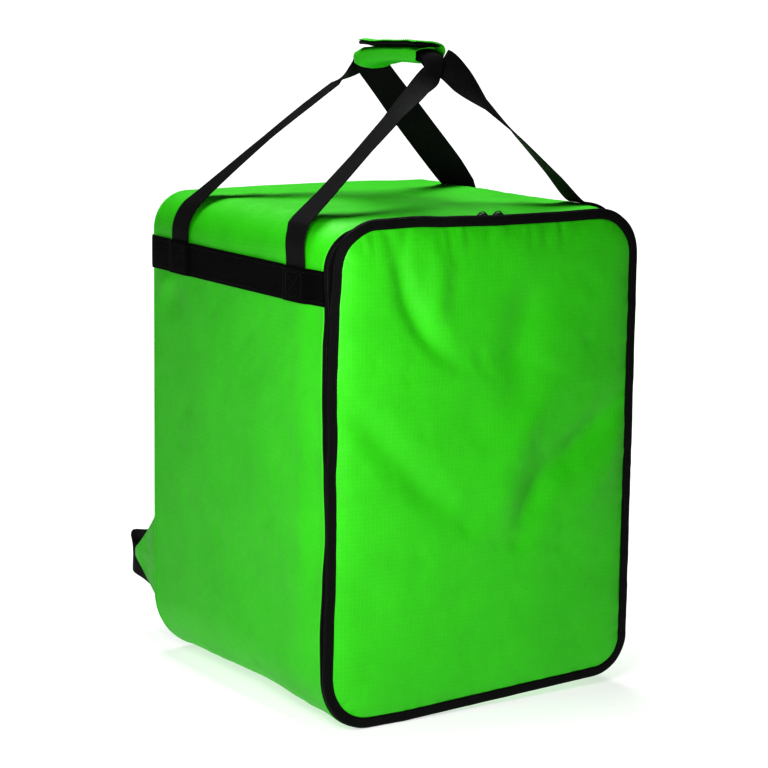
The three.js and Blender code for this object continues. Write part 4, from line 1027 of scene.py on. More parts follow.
def build_wrap():
    """Rings of the outline from rim to rim outside, round the back rim, back inside and round the front
    rim. The rims are quarter circles."""
    marks = even_marks(BACK_SHAPE, 4.6)
    r = RIM_ROUND
    outer = np.linspace(WRAP_FRONT + r, WRAP_BACK - r, 96)[:, None]
    turn = np.radians(np.linspace(0, 90, 5))[1:, None]
    inner = np.linspace(WRAP_BACK - r, WRAP_FRONT + r, 14)[:, None]
    back_y = WRAP_BACK - r + r * np.sin(turn)
    front_y = WRAP_FRONT + r - r * np.sin(turn)
    edge = r * (1 - np.cos(turn))
    rings = np.concatenate([
        wrap_points(outer, 0, marks, True),
        wrap_points(back_y, edge, marks, False),
        wrap_points(back_y[::-1], WRAP_WALL - edge[::-1], marks, False),
        wrap_points(inner, WRAP_WALL, marks, False),
        wrap_points(front_y, WRAP_WALL - edge, marks, False),
        wrap_points(front_y[::-1], edge[::-1], marks, False),
    ])
    reach = distance_round(BACK_SHAPE, marks)[None, :]
    wrap = skin("wrap_cloth", rings, green_cloth, ["body_wrap"], looped=True,
                uv=flat_map(reach, rings[..., 1]))


def build_back_panel():
    """Rolled edge as a quarter circle, then the flat face drawn in toward the middle of the bag, with a
    sewn border that sinks as a narrow bell."""
    marks = even_marks(BACK_SHAPE, 5)
    turn = np.radians(np.linspace(0, 90, 9))[:, None]
    x, z, _, _ = outline(BACK_SHAPE, BACK_THICKNESS * (1 - np.cos(turn)), marks)
    swell = back_swell(x, z)
    roll = vector(x, BACK_SEAM + (BACK_THICKNESS + swell) * np.sin(turn), z)
    share = np.linspace(0, 1, 62)[1:, None]
    x, z, _, _ = outline(BACK_SHAPE, BACK_THICKNESS, marks)
    x, z = toward_middle(x, z, share)
    inset = share * (HALF_WIDTH - BACK_THICKNESS)
    groove = np.exp(-((inset - BACK_SEAM_INSET) / BACK_GROOVE_HALF) ** 2)
    calm = share_of(np.abs(z - BAND_TOP + BAND_WIDTH / 2), BAND_WIDTH / 2, BAND_WIDTH)
    folds = fold_depth(BACK_FOLDS, x / HALF_WIDTH, z / BAG_HEIGHT, HALF_WIDTH, BAG_HEIGHT, WRAP_WALL)
    soft = WRAP_WALL * folds + BACK_CREASE * creasing(x, z, SEEDS["back"])
    hollow = soft * calm + BACK_GROOVE_DEPTH * groove * calm
    face = vector(x, BACK_FACE + back_swell(x, z) - hollow * share_of(inset, 0, BACK_FACE_EASE), z)
    rings = join_middle(np.concatenate([roll, face]))
    panel = skin("back_padding", rings, green_cloth, ["back_panel"], caps="first",
                 uv=flat_map(rings[..., 0], rings[..., 2]))
    x, z = toward_middle(*outline(BACK_SHAPE, BACK_THICKNESS, even_marks(BACK_SHAPE, 3))[:2],
                         BACK_SEAM_INSET / (HALF_WIDTH - BACK_THICKNESS))
    path = vector(x, BACK_FACE + back_swell(x, z) - BACK_STITCH_SINK, z)
    path = np.roll(path[z < BAND_TOP - BAND_WIDTH - SEAM_INSET], -1, axis=0)
    sew("back_border_stitches", [(path, BACKWARD, False)], green_thread)


# Pieces that follow the front outline
def follow(shape, profile, marks):
    """Rings of a profile carried round an outline: each of its points is an inset and a place along Y."""
    x, z, _, _ = outline(shape, profile[:, :1], marks)
    part = "door" if shape is DOOR_SHAPE else "rim"
    return settle(vector(x, profile[:, 1:2], z), part).transpose(1, 0, 2)


def build_zip():
    """Flat tape round the mouth, and the chain of teeth, each a slim rod set askew across it."""
    marks = even_marks(FRONT_SHAPE, 6)
    insets = np.linspace(ZIP_EDGE_INSET, ZIP_TAPE_WIDTH, 8)
    front = [(inset, ZIP_FRONT) for inset in insets]
    back = [(inset, ZIP_BACK) for inset in insets[::-1]]
    rings = follow(FRONT_SHAPE, np.array(front + back), marks)
    skin("zip_tape_cloth", rings, binding_tape, ["zip_tape"], looped=True)
    chain = np.array([[CHAIN_INSET, ZIP_FRONT - SEAM_SINK]])
    path = follow(FRONT_SHAPE, chain, even_marks(FRONT_SHAPE, 2))[:, 0]
    path = np.concatenate([path, path[:1]])
    reach = run_along(path)
    middle = read_points(np.arange(0, reach[-1], TOOTH_PITCH), reach, path)
    ahead = unit(np.roll(middle, -1, axis=0) - np.roll(middle, 1, axis=0))
    aside = unit(np.cross(ahead, BACKWARD))
    skew = ahead * TOOTH_PITCH * 0.25
    rods("zip_teeth", middle - aside * TOOTH_LENGTH / 2 - skew, middle + aside * TOOTH_LENGTH / 2 + skew,
         -BACKWARD, TOOTH_THICKNESS, black_plastic)


def binding_profile():
    """Tape folded round the door's edge: two legs and a flat joined by quarter circles, then given its
    wall to both sides, with half-round lips."""
    half = BINDING_WALL / 2
    r = BINDING_ROUND
    front = np.linspace(BINDING_WIDTH - half, r, 7)
    crown = BINDING_CROWN * (1 - ((front - BINDING_WIDTH / 2) / (BINDING_WIDTH / 2)) ** 2)
    turn = np.radians(np.linspace(0, 90, 6))
    arc = r - half
    path = np.concatenate([
        np.stack([front, BINDING_FRONT + half - crown], axis=-1),
        np.stack([r - arc * np.sin(turn), BINDING_FRONT + r - arc * np.cos(turn)], axis=-1)[1:],
        np.stack([r - arc * np.cos(turn), BINDING_BACK - r + arc * np.sin(turn)], axis=-1),
        np.stack([np.linspace(r, BINDING_BACK_LEG - half, 5), np.full(5, BINDING_BACK - half)], axis=-1)[1:],
    ])
    ahead = unit(np.gradient(path, axis=0))
    normal = np.stack([ahead[:, 1], -ahead[:, 0]], axis=-1)
    lips = np.radians(np.linspace(90, -90, 5))[1:-1]
    start = path[0] + half * (np.cos(lips)[:, None] * -ahead[0] + np.sin(lips)[:, None] * -normal[0])
    end = path[-1] + half * (np.cos(lips)[:, None] * ahead[-1] + np.sin(lips)[:, None] * normal[-1])
    return np.concatenate([path + normal * half, end, path[::-1] - normal[::-1] * half, start])


def build_binding():
    """The folded tape follows the door's outline and wavers a little forward, as sewn tape does."""
    marks = even_marks(DOOR_SHAPE, 3.5)
    rings = follow(DOOR_SHAPE, binding_profile(), marks)
    reach = distance_round(DOOR_SHAPE, marks)[:, None]
    forward = (BINDING_BACK - rings[..., 1]) / BINDING_DEPTH
    size, seed = BINDING_WAVE_SIZES, SEEDS["binding"]
    wave = ripple(reach, 0 * reach, size["long"], seed)
    wave = wave + 0.6 * ripple(reach, 0 * reach + 40, size["short"], seed + 1)
    rings[..., 1] -= BINDING_WAVE * np.maximum(wave, -0.3) * forward
    skin("binding_tape", rings, binding_tape, ["door_binding"], looped=True)


def build_door():
    """Flange inside the binding, then padding whose fullness is 1 less a falling exponential of the
    distance from the binding, less its folds, the gathers along its top and the pucker of its edge."""
    front = BINDING_FRONT + BINDING_WALL + GAP
    back = BINDING_BACK - BINDING_WALL - GAP
    edge = BINDING_WALL + GAP
    clear = BINDING_WIDTH + GAP
    marks = even_marks(BACK_SHAPE, 3.4)
    reach = distance_round(DOOR_SHAPE, marks)
    edge_pucker = 0.5 + 0.5 * ripple(reach, 0 * reach, DOOR_PUCKER_SIZE, SEEDS["edge"])

    def ring_at(inset, share=0):
        """The door's settled outline, drawn in toward the middle by a share."""
        x, z, _, _ = outline(DOOR_SHAPE, inset, marks)
        x, _, z = np.moveaxis(settle(vector(x, BINDING_FRONT, z), "door"), -1, 0)
        return toward_middle(x, z, share)

    flange = [(edge + 0.6, back), (edge, mix(front, back, 0.5)), (edge + 0.6, front), (clear - 0.8, front)]
    rings = [vector(ring_at(inset)[0], y, ring_at(inset)[1]) for inset, y in flange]
    near = np.linspace(0, DOOR_EDGE_BAND, 17)
    share = np.linspace(0, 1, 58)[1:]
    reach_in = DOOR_EDGE_BAND + share * (HALF_WIDTH - clear - DOOR_EDGE_BAND)
    for beyond, part in [(d, 0) for d in near] + list(zip(reach_in, share)):
        x, z = ring_at(clear + GAP + min(beyond, DOOR_EDGE_BAND), part)
        across, up = x / HALF_WIDTH, z / BAG_HEIGHT
        fullness = 1 - DOOR_EDGE_DRAW * math.exp(-beyond / DOOR_EDGE_REACH)
        folds = fold_depth(DOOR_FOLDS, across, up, HALF_WIDTH, BAG_HEIGHT, BINDING_WIDTH)
        pucker = DOOR_PUCKER * edge_pucker * math.exp(-(beyond / DOOR_PUCKER_REACH) ** 2)
        below_top = BAG_HEIGHT - BINDING_WIDTH - z
        top = np.exp(-(below_top / DOOR_GATHER_REACH) ** 2) * share_of(z, BAG_HEIGHT / 2, BAG_HEIGHT)
        away = [(across - place) * HALF_WIDTH / DOOR_GATHER_HALF for place in DOOR_GATHERS]
        gathers = sum(np.exp(-distance ** 2) for distance in away)
        calm = 1 - math.exp(-beyond / BINDING_WIDTH)
        depth = DOOR_FOLD_DEPTH * folds + DOOR_CREASE * creasing(x, z, SEEDS["door"]) * calm
        depth = depth + DOOR_GATHER_DEPTH * gathers * top
        bow = DOOR_BOW * (1 - np.clip(across, -1, 1) ** 2) * np.sin(np.pi * share_of(z, 0, BAG_HEIGHT))
        rings.append(vector(x, front - (DOOR_SWELL + bow - depth) * fullness + pucker, z))
    rings = join_middle(np.array(rings))
    door = skin("door_padding", rings, green_cloth, ["front_door"], caps="first",
                uv=flat_map(rings[..., 0], rings[..., 2]))
    sewn = np.array([[BINDING_WIDTH - 2 * BINDING_WALL, BINDING_FRONT - SEAM_SINK]])
    seam = follow(DOOR_SHAPE, sewn, even_marks(DOOR_SHAPE, 3))[:, 0]
    sew("binding_stitches", [(seam, -BACKWARD, True)], black_thread)


def build_slider(name, centre_x):
    """Slider: levels of a rounded block on the fourth power, with a bridge over its middle."""
    drop = FRONT_PULL * read_table(TOP_PULLS, "across", centre_x / HALF_WIDTH, "rim")
    seat = float(BAG_HEIGHT - TOP_CROWN + GAP - drop)
    centre_y = BINDING_BACK + GAP + SLIDER_DEPTH / 2
    up = np.linspace(0, 1, 12)[:, None]
    size = np.interp(up, *zip(*SLIDER_LEVELS))
    angle = np.linspace(0, 2 * np.pi, 36, endpoint=False)[None, :]
    square = squared(angle, 4)
    waist = 1 - SLIDER_WAIST * np.cos(angle) ** 2 * np.sin(np.pi * up)
    x = centre_x + size * SLIDER_LENGTH / 2 * square * np.cos(angle)
    y = centre_y + size * SLIDER_DEPTH / 2 * square * np.sin(angle) * waist
    rings = vector(x, y, seat + up * SLIDER_HEIGHT * 0.8)
    skin(f"slider_body_{name}", rings, black_plastic, [f"zip_slider_{name}"], caps="middle")
    arch = np.radians(np.linspace(0, 180, 15))
    x = centre_x + SLIDER_BRIDGE_HALF * np.cos(arch)
    z = seat + SLIDER_HEIGHT * (0.62 + 0.5 * np.sin(arch))
    path = [station(place, BACKWARD) for place in vector(x, centre_y, z)]
    bridge = ribbon(path, SLIDER_DEPTH / 3, thickness=1, face=1, pace=1, across=6, edge=0.5)
    ribbon_piece(f"slider_bridge_{name}", bridge, black_plastic)


# Band and handles
HANDLE_FEET = (HANDLE_FRONT_Y, HANDLE_BACK_Y)


def band_step(y):
    """How far the band steps out over the ends of the handles."""
    away = np.min([np.abs(y - foot) for foot in HANDLE_FEET], axis=0) - WEBBING_WIDTH / 2 - 1
    return (WEBBING_THICKNESS + GAP) * ease(1 - share_of(away, 0, BAND_RAMP))


def band_path(z, out):
    """Points of the band at heights and distances out: the left side, the back and the right side."""
    def side_points(side, y):
        """Lifted off a side, over the ends of the handles."""
        return side_place(side, y[:, None], z[None, :], GAP + band_step(y)[:, None] + out[None, :])

    def corner_points(side, angle):
        """Turned round the back's rolled edge as a quarter circle."""
        rim = side_place(side, np.full((1, 1), float(WRAP_BACK)), z[None, :], 0)[..., 0]
        reach = BACK_THICKNESS + GAP + out[None, :]
        turn = np.radians(angle)[:, None]
        x = side * (np.abs(rim) - BACK_THICKNESS + reach * np.cos(turn))
        return vector(x, BACK_SEAM + (reach + back_swell(x, z[None, :])) * np.sin(turn), z[None, :])

    stops = np.linspace(ZIP_FRONT, WRAP_BACK, 124)
    angles = np.linspace(6, 90, 15)
    x = np.linspace(-HALF_WIDTH + BACK_THICKNESS, HALF_WIDTH - BACK_THICKNESS, 80)[1:-1, None]
    back = vector(x, BACK_FACE + back_swell(x, z[None, :]) + GAP + out[None, :], z[None, :])
    return np.concatenate([side_points(-1, stops), corner_points(-1, angles), back,
                           corner_points(1, angles[::-1]), side_points(1, stops[::-1])])


def build_band():
    """Webbing round three sides: its thickness falls off toward its edges with the fourth power."""
    s = np.sin(np.pi / 2 * np.linspace(-1, 1, 13))
    z = BAND_TOP - BAND_WIDTH / 2 + s * BAND_WIDTH / 2
    half = WEBBING_THICKNESS / 2 * mix(WEBBING_EDGE, 1, 1 - s ** 4)
    inner = band_path(z, WEBBING_THICKNESS / 2 - half)
    outer = band_path(z, WEBBING_THICKNESS / 2 + half)
    rings = np.concatenate([inner, outer[:, ::-1]], axis=1)
    skin("band_webbing", rings, band_webbing, ["upper_band"], caps="strip")
    rows = []
    for level in (BAND_TOP - SEAM_INSET, BAND_TOP - BAND_WIDTH + SEAM_INSET):
        row = band_path(np.array([float(level)]), np.array([WEBBING_THICKNESS]))[:, 0]
        middle = np.array((0, WRAP_CENTRE_Y, level))
        rows.append((row, unit(row - middle), False))
    corners = np.arange(len(BOX_STITCH))
    t = np.linspace(0, corners[-1], 15 * corners[-1] + 1)
    across, up = (np.interp(t, corners, way) for way in zip(*BOX_STITCH))
    z = BAND_TOP - BAND_WIDTH / 2 + (BAND_WIDTH / 2 - 1.5 * SEAM_INSET) * up
    for side in (-1, 1):
        for foot in HANDLE_FEET:
            y = foot + (WEBBING_WIDTH / 2 - SEAM_INSET) * across
            path = side_place(side, y, z, 2 * (GAP + WEBBING_THICKNESS))
            rows.append((path, np.array((side, 0, 0.0)), False))
    sew("band_stitches", rows, black_thread)


def grip_at(y):
    """The grip's middle height, half width and half rise at a place along it."""
    along = share_of(y, GRIP_CENTRE_Y - GRIP_LENGTH / 2, GRIP_CENTRE_Y + GRIP_LENGTH / 2)
    return (GRIP_HEIGHT - GRIP_HALF_RISE * read_table(GRIP_SECTIONS, "along", along, "drop"),
            GRIP_HALF_WIDTH * read_table(GRIP_SECTIONS, "along", along, "width"),
            GRIP_HALF_RISE * read_table(GRIP_SECTIONS, "along", along, "rise"))


def mouth_reach(side):
    """How far past the grip's end a handle turns down: the left one lies outside the right one."""
    return MOUTH_REACH["outer"] if side < 0 else MOUTH_REACH["inner"]


def leg_stations(side, end, leg):
    """Stations of one handle leg, from its foot under the band up to the mouth of the grip."""
    foot = HANDLE_FRONT_Y if end < 0 else HANDLE_BACK_Y
    mouth_y = GRIP_CENTRE_Y + end * (GRIP_LENGTH / 2 + mouth_reach(side) + WEBBING_THICKNESS)
    stand = HANDLE_STANDOFF * leg["stand"]
    lift = shoulder_place(side, foot - end * HANDLE_TURN, leg["lift"], WEBBING_LIFT + stand)
    mouth = np.array((side * leg["across"] * GRIP_HALF_WIDTH, mouth_y,
                      grip_at(mouth_y)[0] - leg["drop"] * MOUTH_DROP), float)
    heights = (BAND_TOP - HANDLE_TUCK, BAND_TOP - HANDLE_TUCK / 2, BAND_TOP + WEBBING_THICKNESS)
    stations = [station(side_place(side, foot, z, WEBBING_LIFT), BACKWARD) for z in heights]
    for share in (0.15, 0.32, 0.5, 0.68, 0.84):
        y = foot - end * HANDLE_TURN * share * share
        place = shoulder_place(side, y, leg["lift"] * share, WEBBING_LIFT + stand * share)
        stations.append(station(place, BACKWARD))
    for share, twist in zip(LEG_SHARES, np.radians(leg["twists"])):
        place = mix(lift, mouth, share) - UP * leg["sag"] * WEBBING_WIDTH * math.sin(math.pi * share)
        tangent = np.array((-side * leg["lean"], 0, 1.0)) if share == 1 else mouth - lift
        outward_way = unit(-side * np.cross(tangent, BACKWARD))
        direction = BACKWARD * math.cos(twist) + outward_way * math.sin(twist)
        wide = mix(1, leg["bunch"], share_of(share, 0.7, 1))
        stations.append(station(place, direction, leg["cup"] * ease(max(2 * share - 1, 0)), wide))
    return stations


def handle_stations(side):
    """One handle: up the front leg, through the grip cupped over the other handle, down the back leg."""
    name = "left" if side < 0 else "right"
    legs = HANDLE_LEGS[f"front_{name}"], HANDLE_LEGS[f"back_{name}"]
    front, back = leg_stations(side, -1, legs[0]), leg_stations(side, 1, legs[1])[::-1]
    for stop in back:
        stop["side"] = -stop["side"]
    curve = WEBBING_WIDTH / 2 / math.radians(HANDLE_CUP)
    depth = 0 if side < 0 else HANDLE_STACK
    cup = HANDLE_CUP * curve / (curve - depth)
    across = np.array((side, 0, 0), float)
    reach = mouth_reach(side)

    def level(y):
        """Height of the handle under the top of the grip."""
        middle, _, rise = grip_at(y)
        return float(middle + rise - GRIP_WALL / 2 - 2 * WEBBING_LIFT - depth)

    def turn(end, angle, leg):
        """Stop at an angle of the quarter circle on which the handle turns down past the grip."""
        y = GRIP_CENTRE_Y + end * GRIP_LENGTH / 2
        sine, short = math.sin(math.radians(angle)), 1 - math.cos(math.radians(angle))
        flattened = (angle / 90) ** (0.6 if side < 0 else 1)
        x = side * leg["across"] * GRIP_HALF_WIDTH * 0.3 * short
        return station((x, y + end * reach * sine, level(y) - reach * short), across,
                       mix(cup, leg["cup"], flattened), mix(1, leg["bunch"], flattened), sheared=1)

    held = [turn(-1, 75, legs[0]), turn(-1, 35, legs[0])]
    for share in (-0.5, -0.38, -0.2, 0, 0.2, 0.38, 0.5):
        y = GRIP_CENTRE_Y + share * GRIP_LENGTH
        held.append(station((0, y, level(y)), across, cup))
    held += [turn(1, 35, legs[1]), turn(1, 75, legs[1])]
    return front + held + back


def build_handle(name, side):
    """Ribbon through the stations of a handle."""
    made = ribbon(handle_stations(side), WEBBING_WIDTH, WEBBING_THICKNESS, side, 3.5, across=14)
    ribbon_piece(f"handle_webbing_{name}", made, strap_webbing, [f"handle_strap_{name}"])


# Grip
def grip_place(y, turn, lift):
    """Place on the wound strip: a superellipse that grows as it passes over its own first turn, lifts
    toward its free edge and skews along the handles there and at its front end on the left; small
    folds gather at both of its ends."""
    middle, half_width, half_rise = grip_at(y)
    angle = np.radians(turn)
    free = share_of(turn, FLAP_SETTLED, GRIP_TURN_END)
    ends = np.abs(y - GRIP_CENTRE_Y) / (GRIP_LENGTH / 2)
    folds = np.maximum(ripple(turn % 360 / 8, y / 8, GRIP_WRINKLE_SIZE, SEEDS["grip"]), 0)
    folds = folds * mix(0.35, 1, ends ** 2)
    out = FLAP_OVER * ease(share_of(turn, FLAP_START, FLAP_SETTLED)) + FLAP_LIFT * free ** 3 + lift
    out = out + GRIP_WRINKLE * folds
    size = squared(angle, GRIP_SQUARENESS)
    x, up = half_width * size * np.cos(angle), half_rise * size * np.sin(angle)
    normal = unit(vector(x / half_width ** 2, 0, up / half_rise ** 2))
    levelled = free * np.maximum(GRIP_HEIGHT - middle, 0)
    front = share_of(GRIP_CENTRE_Y - y, 0, GRIP_LENGTH / 2) * np.maximum(-np.cos(angle), 0) * (1 - free)
    y = y - FLAP_SKEW * free - GRIP_END_SKEW * front
    return vector(x, y, middle + up + levelled) + out[..., None] * normal


def wound_strip(turn, low, high, start_share, end_share, fine_along):
    """Rings of a strip wound round the handles, one across each step along them; its thickness is
    rounded off at both ends."""
    share = np.sin(np.pi / 2 * np.linspace(-1, 1, fine_along))[:, None] / 2 + 0.5
    y = GRIP_CENTRE_Y + GRIP_LENGTH * (mix(start_share, end_share, share) - 0.5)
    edge = np.abs(2 * share - 1) ** 12
    middle, half = (low + high) / 2, (high - low) / 2 * np.sqrt(1 - 0.75 * edge)
    inner = grip_place(y, turn, middle - half + 0 * turn)
    outer = grip_place(y, turn, middle + half + 0 * turn)
    return np.concatenate([inner, outer[:, ::-1]], axis=1)


def flap_thinning(turn):
    """How much of the strip's inner side is given to the fastener pad, growing toward the free edge."""
    return (GRIP_WALL - FLAP_EDGE) * share_of(turn, FLAP_SETTLED, GRIP_TURN_END)


def build_grip():
    """Cloth strip wound round the handles and over itself, the fastener pad under its flap, and a row
    of stitches along each end and along the free edge."""
    turn = np.linspace(GRIP_TURN_START, GRIP_TURN_END, 170)[None, :]
    rings = wound_strip(turn, flap_thinning(turn) - GRIP_WALL / 2, GRIP_WALL / 2, 0, 1, 70)
    wrap = skin("grip_cloth", rings, green_cloth, ["handle_grip"], caps="strip")
    turn = np.linspace(FLAP_SETTLED + 5, GRIP_TURN_END - 2, 50)[None, :]
    low = -GRIP_WALL / 2 - 2.5 * GAP - FASTENER_THICKNESS - flap_thinning(turn)
    rings = wound_strip(turn, low, flap_thinning(turn) - GRIP_WALL / 2 - GAP, 0.01, 0.99, 60)
    skin("grip_fastener_pad", rings, binding_tape, ["grip_fastener"], caps="strip")
    rows = []
    for share in (0.045, 0.955):
        turn = np.linspace(FLAP_SETTLED - 30, GRIP_TURN_END - 6, 60)
        y = np.full(60, GRIP_CENTRE_Y + GRIP_LENGTH * (share - 0.5))
        path = grip_place(y, turn, np.full(60, GRIP_WALL / 2))
        rows.append((path, unit(path - vector(0, y, GRIP_HEIGHT)), False))
    y = GRIP_CENTRE_Y + GRIP_LENGTH * np.linspace(-0.45, 0.45, 60)
    path = grip_place(y, np.full(60, GRIP_TURN_END - 9.0), np.full(60, GRIP_WALL / 2))
    rows.append((path, unit(path - vector(0, y, GRIP_HEIGHT)), False))
    sew("grip_stitches", rows, green_thread)


# Shoulder straps and what hangs from them
def pad_stations(side):
    """Stations of a shoulder strap: down the back, standing off it in a bow."""
    top = BAND_TOP - BAND_WIDTH - 2 * GAP
    stations = []
    for row in PAD_SECTIONS:
        x = side * mix(PAD_TOP_X, PAD_LOW_X, ease(row["down"]))
        z = top - row["down"] * PAD_LENGTH_DOWN
        seat = BACK_FACE + back_swell(x, z) + GAP + PAD_THICKNESS * row["thick"] / 2
        place = (x, seat + row["stand"] * PAD_BOW, z)
        stations.append(station(place, (side, 0, 0), wide=row["wide"], thick=row["thick"]))
    return stations


def build_pad(name, side):
    """Foam strap: its thickness falls to its edges as a root of the fourth power, with a sewn line on
    each side."""
    made = ribbon(pad_stations(side), PAD_WIDTH, PAD_THICKNESS, side, 5, across=26, edge=0.3)
    pad = ribbon_piece(f"shoulder_pad_{name}", made, green_cloth, [f"shoulder_strap_{name}"])
    rows = []
    for edge in (-0.74, 0.74):
        for face in (-1, 1):
            rise = made["thick"] * mix(0.3, 1, 1 - edge ** 4)
            path = made["place"] + made["side"] * made["half"] * edge + made["normal"] * face * rise
            rows.append((path[3:-2], made["normal"][3:-2] * face, False))
    sew(f"shoulder_stitches_{name}", rows, green_thread)


def buckle_frame(side):
    """Where the buckle hangs: just below the pad, turned with it."""
    last, before = (pad_stations(side)[k]["place"] for k in (-1, -2))
    down = unit(last - before)
    across = np.array((side, 0, 0), float)
    across = unit(across - down * (across @ down))
    return last, across, np.cross(across, down) * side, down


def in_frame(frame, across, out, down):
    """Points across, out of and down a frame of place and three directions."""
    origin, across_way, out_way, down_way = frame
    across, out, down = (np.asarray(v, float)[..., None] for v in (across, out, down))
    return origin + across_way * across + out_way * out + down_way * down


def build_buckle(name, side):
    """Frame: an oval section on the fourth power carried round a rounded rectangle, and a middle bar."""
    frame = buckle_frame(side)
    centre = BUCKLE_HEIGHT / 2 + GAP
    half_bar = BUCKLE_BAR / 2
    shape = {"half_width": BUCKLE_WIDTH / 2 - half_bar, "low": -BUCKLE_HEIGHT / 2 + half_bar,
             "high": BUCKLE_HEIGHT / 2 - half_bar,
             "corners": dict.fromkeys(("bottom_left", "bottom_right", "top_right", "top_left"), half_bar)}
    marks = even_marks(shape, 1.5)
    x, z, nx, nz = (v[:, None] for v in outline(shape, 0, marks))
    angle = np.linspace(0, 2 * np.pi, 20, endpoint=False)[None, :]
    square = squared(angle, 4)
    wide = half_bar * square * np.cos(angle)
    high = BUCKLE_THICKNESS / 2 * square * np.sin(angle)
    rings = in_frame(frame, x + nx * wide, high + 0 * x, centre - z - nz * wide)
    skin(f"buckle_frame_{name}", rings, black_plastic, [f"buckle_{name}"], looped=True)
    along = np.linspace(-WEBBING_WIDTH / 2 - 2, WEBBING_WIDTH / 2 + 2, 12)[:, None]
    rings = in_frame(frame, along, high * 0.85 + 0 * along, centre + wide * 0.9)
    skin(f"buckle_bar_{name}", rings, black_plastic, caps="middle")


def build_keeper(name, side):
    """Loop of webbing from the back of the pad, round the buckle's top bar, to the pad's front."""
    frame = buckle_frame(side)
    clear = BUCKLE_THICKNESS / 2 + GAP + WEBBING_THICKNESS / 2
    pad_clear = PAD_THICKNESS / 2 + GAP + WEBBING_THICKNESS
    turn_down = BUCKLE_BAR + GAP * 3 + WEBBING_THICKNESS
    behind = [(-pad_clear, -KEEPER_REACH), (-pad_clear, -KEEPER_SPLAY), (-clear, 0),
              (-clear, turn_down - 1.5)]
    ahead = [(-out, down) for out, down in behind[::-1]]
    rows = [*behind, (0, turn_down + 0.8), *ahead]
    stations = [station(in_frame(frame, 0, out, down), frame[1]) for out, down in rows]
    made = ribbon(stations, WEBBING_WIDTH, WEBBING_THICKNESS, side, 1.6)
    ribbon_piece(f"keeper_webbing_{name}", made, strap_webbing, [f"buckle_keeper_{name}"])


def build_adjuster(name, side):
    """Webbing from the wing's inner face round and up to the buckle, over its lower bar from behind and
    down in front as a free tail."""
    frame = buckle_frame(side)
    base = BACK_FACE + GAP

    def in_face(share):
        """How far from the middle the webbing lies on the wing's inner face."""
        return mix(WING_SEAM_X, WING_TIP_X, share) - WING_THICKNESS / 2 - 2.4 * WEBBING_LIFT

    tip_y = base + WING_REACH
    level = WING_TIP_HEIGHT - ADJUSTER_DROP
    stations = [
        station((side * in_face(0.45), base + 0.45 * WING_REACH, level - 5), UP, wide=0.8),
        station((side * in_face(0.8), base + 0.8 * WING_REACH, level), UP),
    ]
    for row in ADJUSTER_LOOP:
        place = (side * (WING_TIP_X - row["inward"]), tip_y + row["back"], level + row["up"])
        stations.append(station(place, (side * row["way"][0], 0, row["way"][1])))
    bar_down = BUCKLE_HEIGHT + GAP - BUCKLE_BAR / 2
    near = BUCKLE_THICKNESS / 2 + GAP + WEBBING_THICKNESS / 2 + GAP / 2
    over_bar = bar_down - BUCKLE_BAR / 2 - GAP - WEBBING_THICKNESS / 2
    corner = BUCKLE_THICKNESS / 2 + 1.1
    rows = [(-near - 2, bar_down + 20), (-near, bar_down + 2), (-near, bar_down - 1.2),
            (-corner, over_bar + 0.15), (0, over_bar - 0.3), (corner, over_bar + 0.15),
            (near, bar_down - 1.2), (near, bar_down + 5)]
    stations += [station(in_frame(frame, 0, out, down), -frame[1]) for out, down in rows]
    last = stations[-1]["place"]
    stations += [station(last - UP * share * TAIL_LENGTH, -frame[1]) for share in (0.3, 0.6, 1)]
    made = ribbon(stations, WEBBING_WIDTH, WEBBING_THICKNESS, side, 2.5)
    ribbon_piece(f"adjuster_webbing_{name}", made, strap_webbing, [f"strap_webbing_{name}"])


def build_wing(name, side):
    """Doubled cloth triangle: straight between a low and a high line that meet near its tip, thin at its
    rims, and crumpled by a slow wave and by noise."""
    share = np.linspace(0, 1, 44)[:, None]
    s = np.sin(np.pi / 2 * np.linspace(-1, 1, 30))[None, :]
    up = (s + 1) / 2
    tip = WEBBING_WIDTH * WING_TIP_ROUND
    low = mix(WING_BASE_LOW, WING_TIP_HEIGHT - tip / 2, share)
    high = mix(WING_BASE_HIGH, WING_TIP_HEIGHT + tip / 2, share ** 0.8)
    z = mix(low, high, up)
    y = BACK_FACE + GAP + share * WING_REACH + 0 * up
    wave = WING_WAVE * np.sin(3 * np.pi * share) * np.sin(np.pi * up)
    crumple = WING_CRUMPLE * ripple(y, z, WING_CRUMPLE_SIZE, SEEDS["wing"])
    crumple = crumple * np.sin(np.pi * up) * np.sin(np.pi * share)
    x = mix(WING_SEAM_X, WING_TIP_X, share) + wave + crumple
    thick = WING_THICKNESS * mix(1, 0.8, share) / 2 * np.sqrt(1 - 0.85 * s ** 6)
    outer, inner = (vector(side * (x + wall), y, z) for wall in (thick, -thick))
    rings = np.concatenate([outer, inner[:, ::-1]], axis=1)
    wing = skin(f"wing_cloth_{name}", rings, green_cloth, [f"strap_wing_{name}"], caps="strip")
    length = math.hypot(WING_REACH, WING_SEAM_X - WING_TIP_X)
    area = float(np.trapz((high - low)[:, 0], (share * length)[:, 0]))
    rows = []
    for edge in (0.07, 0.93):
        x = side * (mix(WING_SEAM_X, WING_TIP_X, share) + WING_THICKNESS * 0.48)
        path = vector(x, y[:, :1], mix(low, high, edge))
        rows.append((path[2:-2, 0], np.array((side, 0, 0.0)), False))
    sew(f"wing_stitches_{name}", rows, green_thread)


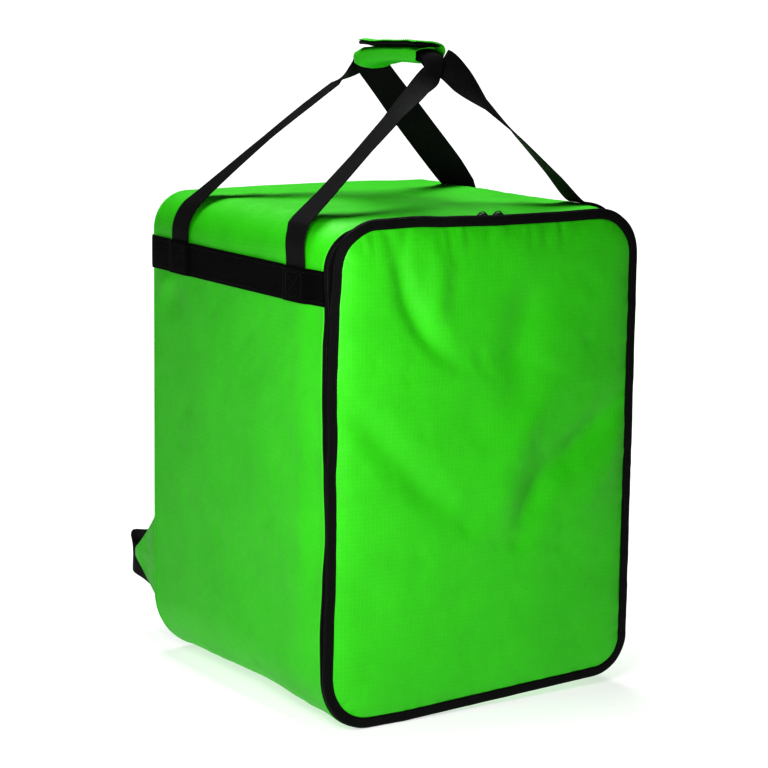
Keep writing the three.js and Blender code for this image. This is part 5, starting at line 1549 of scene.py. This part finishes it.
# The pieces, first those that there is one of, then those on the left and on the right
build_wrap()
build_back_panel()
build_zip()
build_binding()
build_door()
build_band()
build_grip()
for piece_name, piece_side in (("left", -1), ("right", 1)):
    build_slider(piece_name, SLIDER_PLACES[piece_name])
    build_handle(piece_name, piece_side)
    build_pad(piece_name, piece_side)
    build_buckle(piece_name, piece_side)
    build_keeper(piece_name, piece_side)
    build_adjuster(piece_name, piece_side)
    build_wing(piece_name, piece_side)


# Floor, light and camera, in metres
def build_floor():
    """Flat square on the ground."""
    mesh = bpy.data.meshes.new("pale_floor")
    corners = [(x * FLOOR_REACH, y * FLOOR_REACH, 0) for x, y in BOX_STITCH[:4]]
    mesh.from_pydata(corners, [], [(0, 1, 2, 3)])
    floor = bpy.data.objects.new("pale_floor", mesh)
    bpy.context.scene.collection.objects.link(floor)
    mesh.materials.append(glowing_floor_finish())


def add_light(name, place, size, power):
    """Soft square light that faces the middle of the bag."""
    light = bpy.data.lights.new(name, "AREA")
    light.shape = "SQUARE"
    light.size = size
    light.energy = power
    lamp = bpy.data.objects.new(name, light)
    middle = np.array((0, 0, BAG_HEIGHT / 2 * MM))
    back = unit(np.array(place, float) - middle)
    right = unit(np.cross(UP, back))
    axes = np.stack([right, np.cross(back, right), back], axis=-1)
    lamp.matrix_world = Matrix.Translation(place) @ Matrix(axes.tolist()).to_4x4()
    bpy.context.scene.collection.objects.link(lamp)


def add_camera():
    """Camera whose right and up ways are turned by its roll about the way that it looks."""
    yaw, pitch, roll = (math.radians(a) for a in (CAMERA_YAW, CAMERA_PITCH, CAMERA_ROLL))
    ahead = np.array((math.sin(yaw) * math.cos(pitch), math.cos(yaw) * math.cos(pitch), math.sin(pitch)))
    level = np.array((math.cos(yaw), -math.sin(yaw), 0))
    above = np.cross(level, ahead)
    right = math.cos(roll) * level + math.sin(roll) * above
    up = math.cos(roll) * above - math.sin(roll) * level
    camera = bpy.data.cameras.new("camera")
    camera.lens = CAMERA_LENS
    camera.sensor_width = CAMERA_SENSOR
    viewer = bpy.data.objects.new("camera", camera)
    axes = np.stack([right, up, -ahead], axis=-1)
    viewer.matrix_world = Matrix.Translation(CAMERA_PLACE) @ Matrix(axes.tolist()).to_4x4()
    bpy.context.scene.collection.objects.link(viewer)
    bpy.context.scene.camera = viewer


build_floor()
for light_row in LIGHTS:
    add_light(**light_row)
add_camera()

world = bpy.data.worlds.new("studio")
world.use_nodes = True
world.node_tree.nodes["Background"].inputs["Color"].default_value = (1, 1, 1, 1)
world.node_tree.nodes["Background"].inputs["Strength"].default_value = WORLD_STRENGTH
bpy.context.scene.world = world
bpy.context.scene.view_settings.view_transform = "Standard"
bpy.context.scene.view_settings.look = "High Contrast"
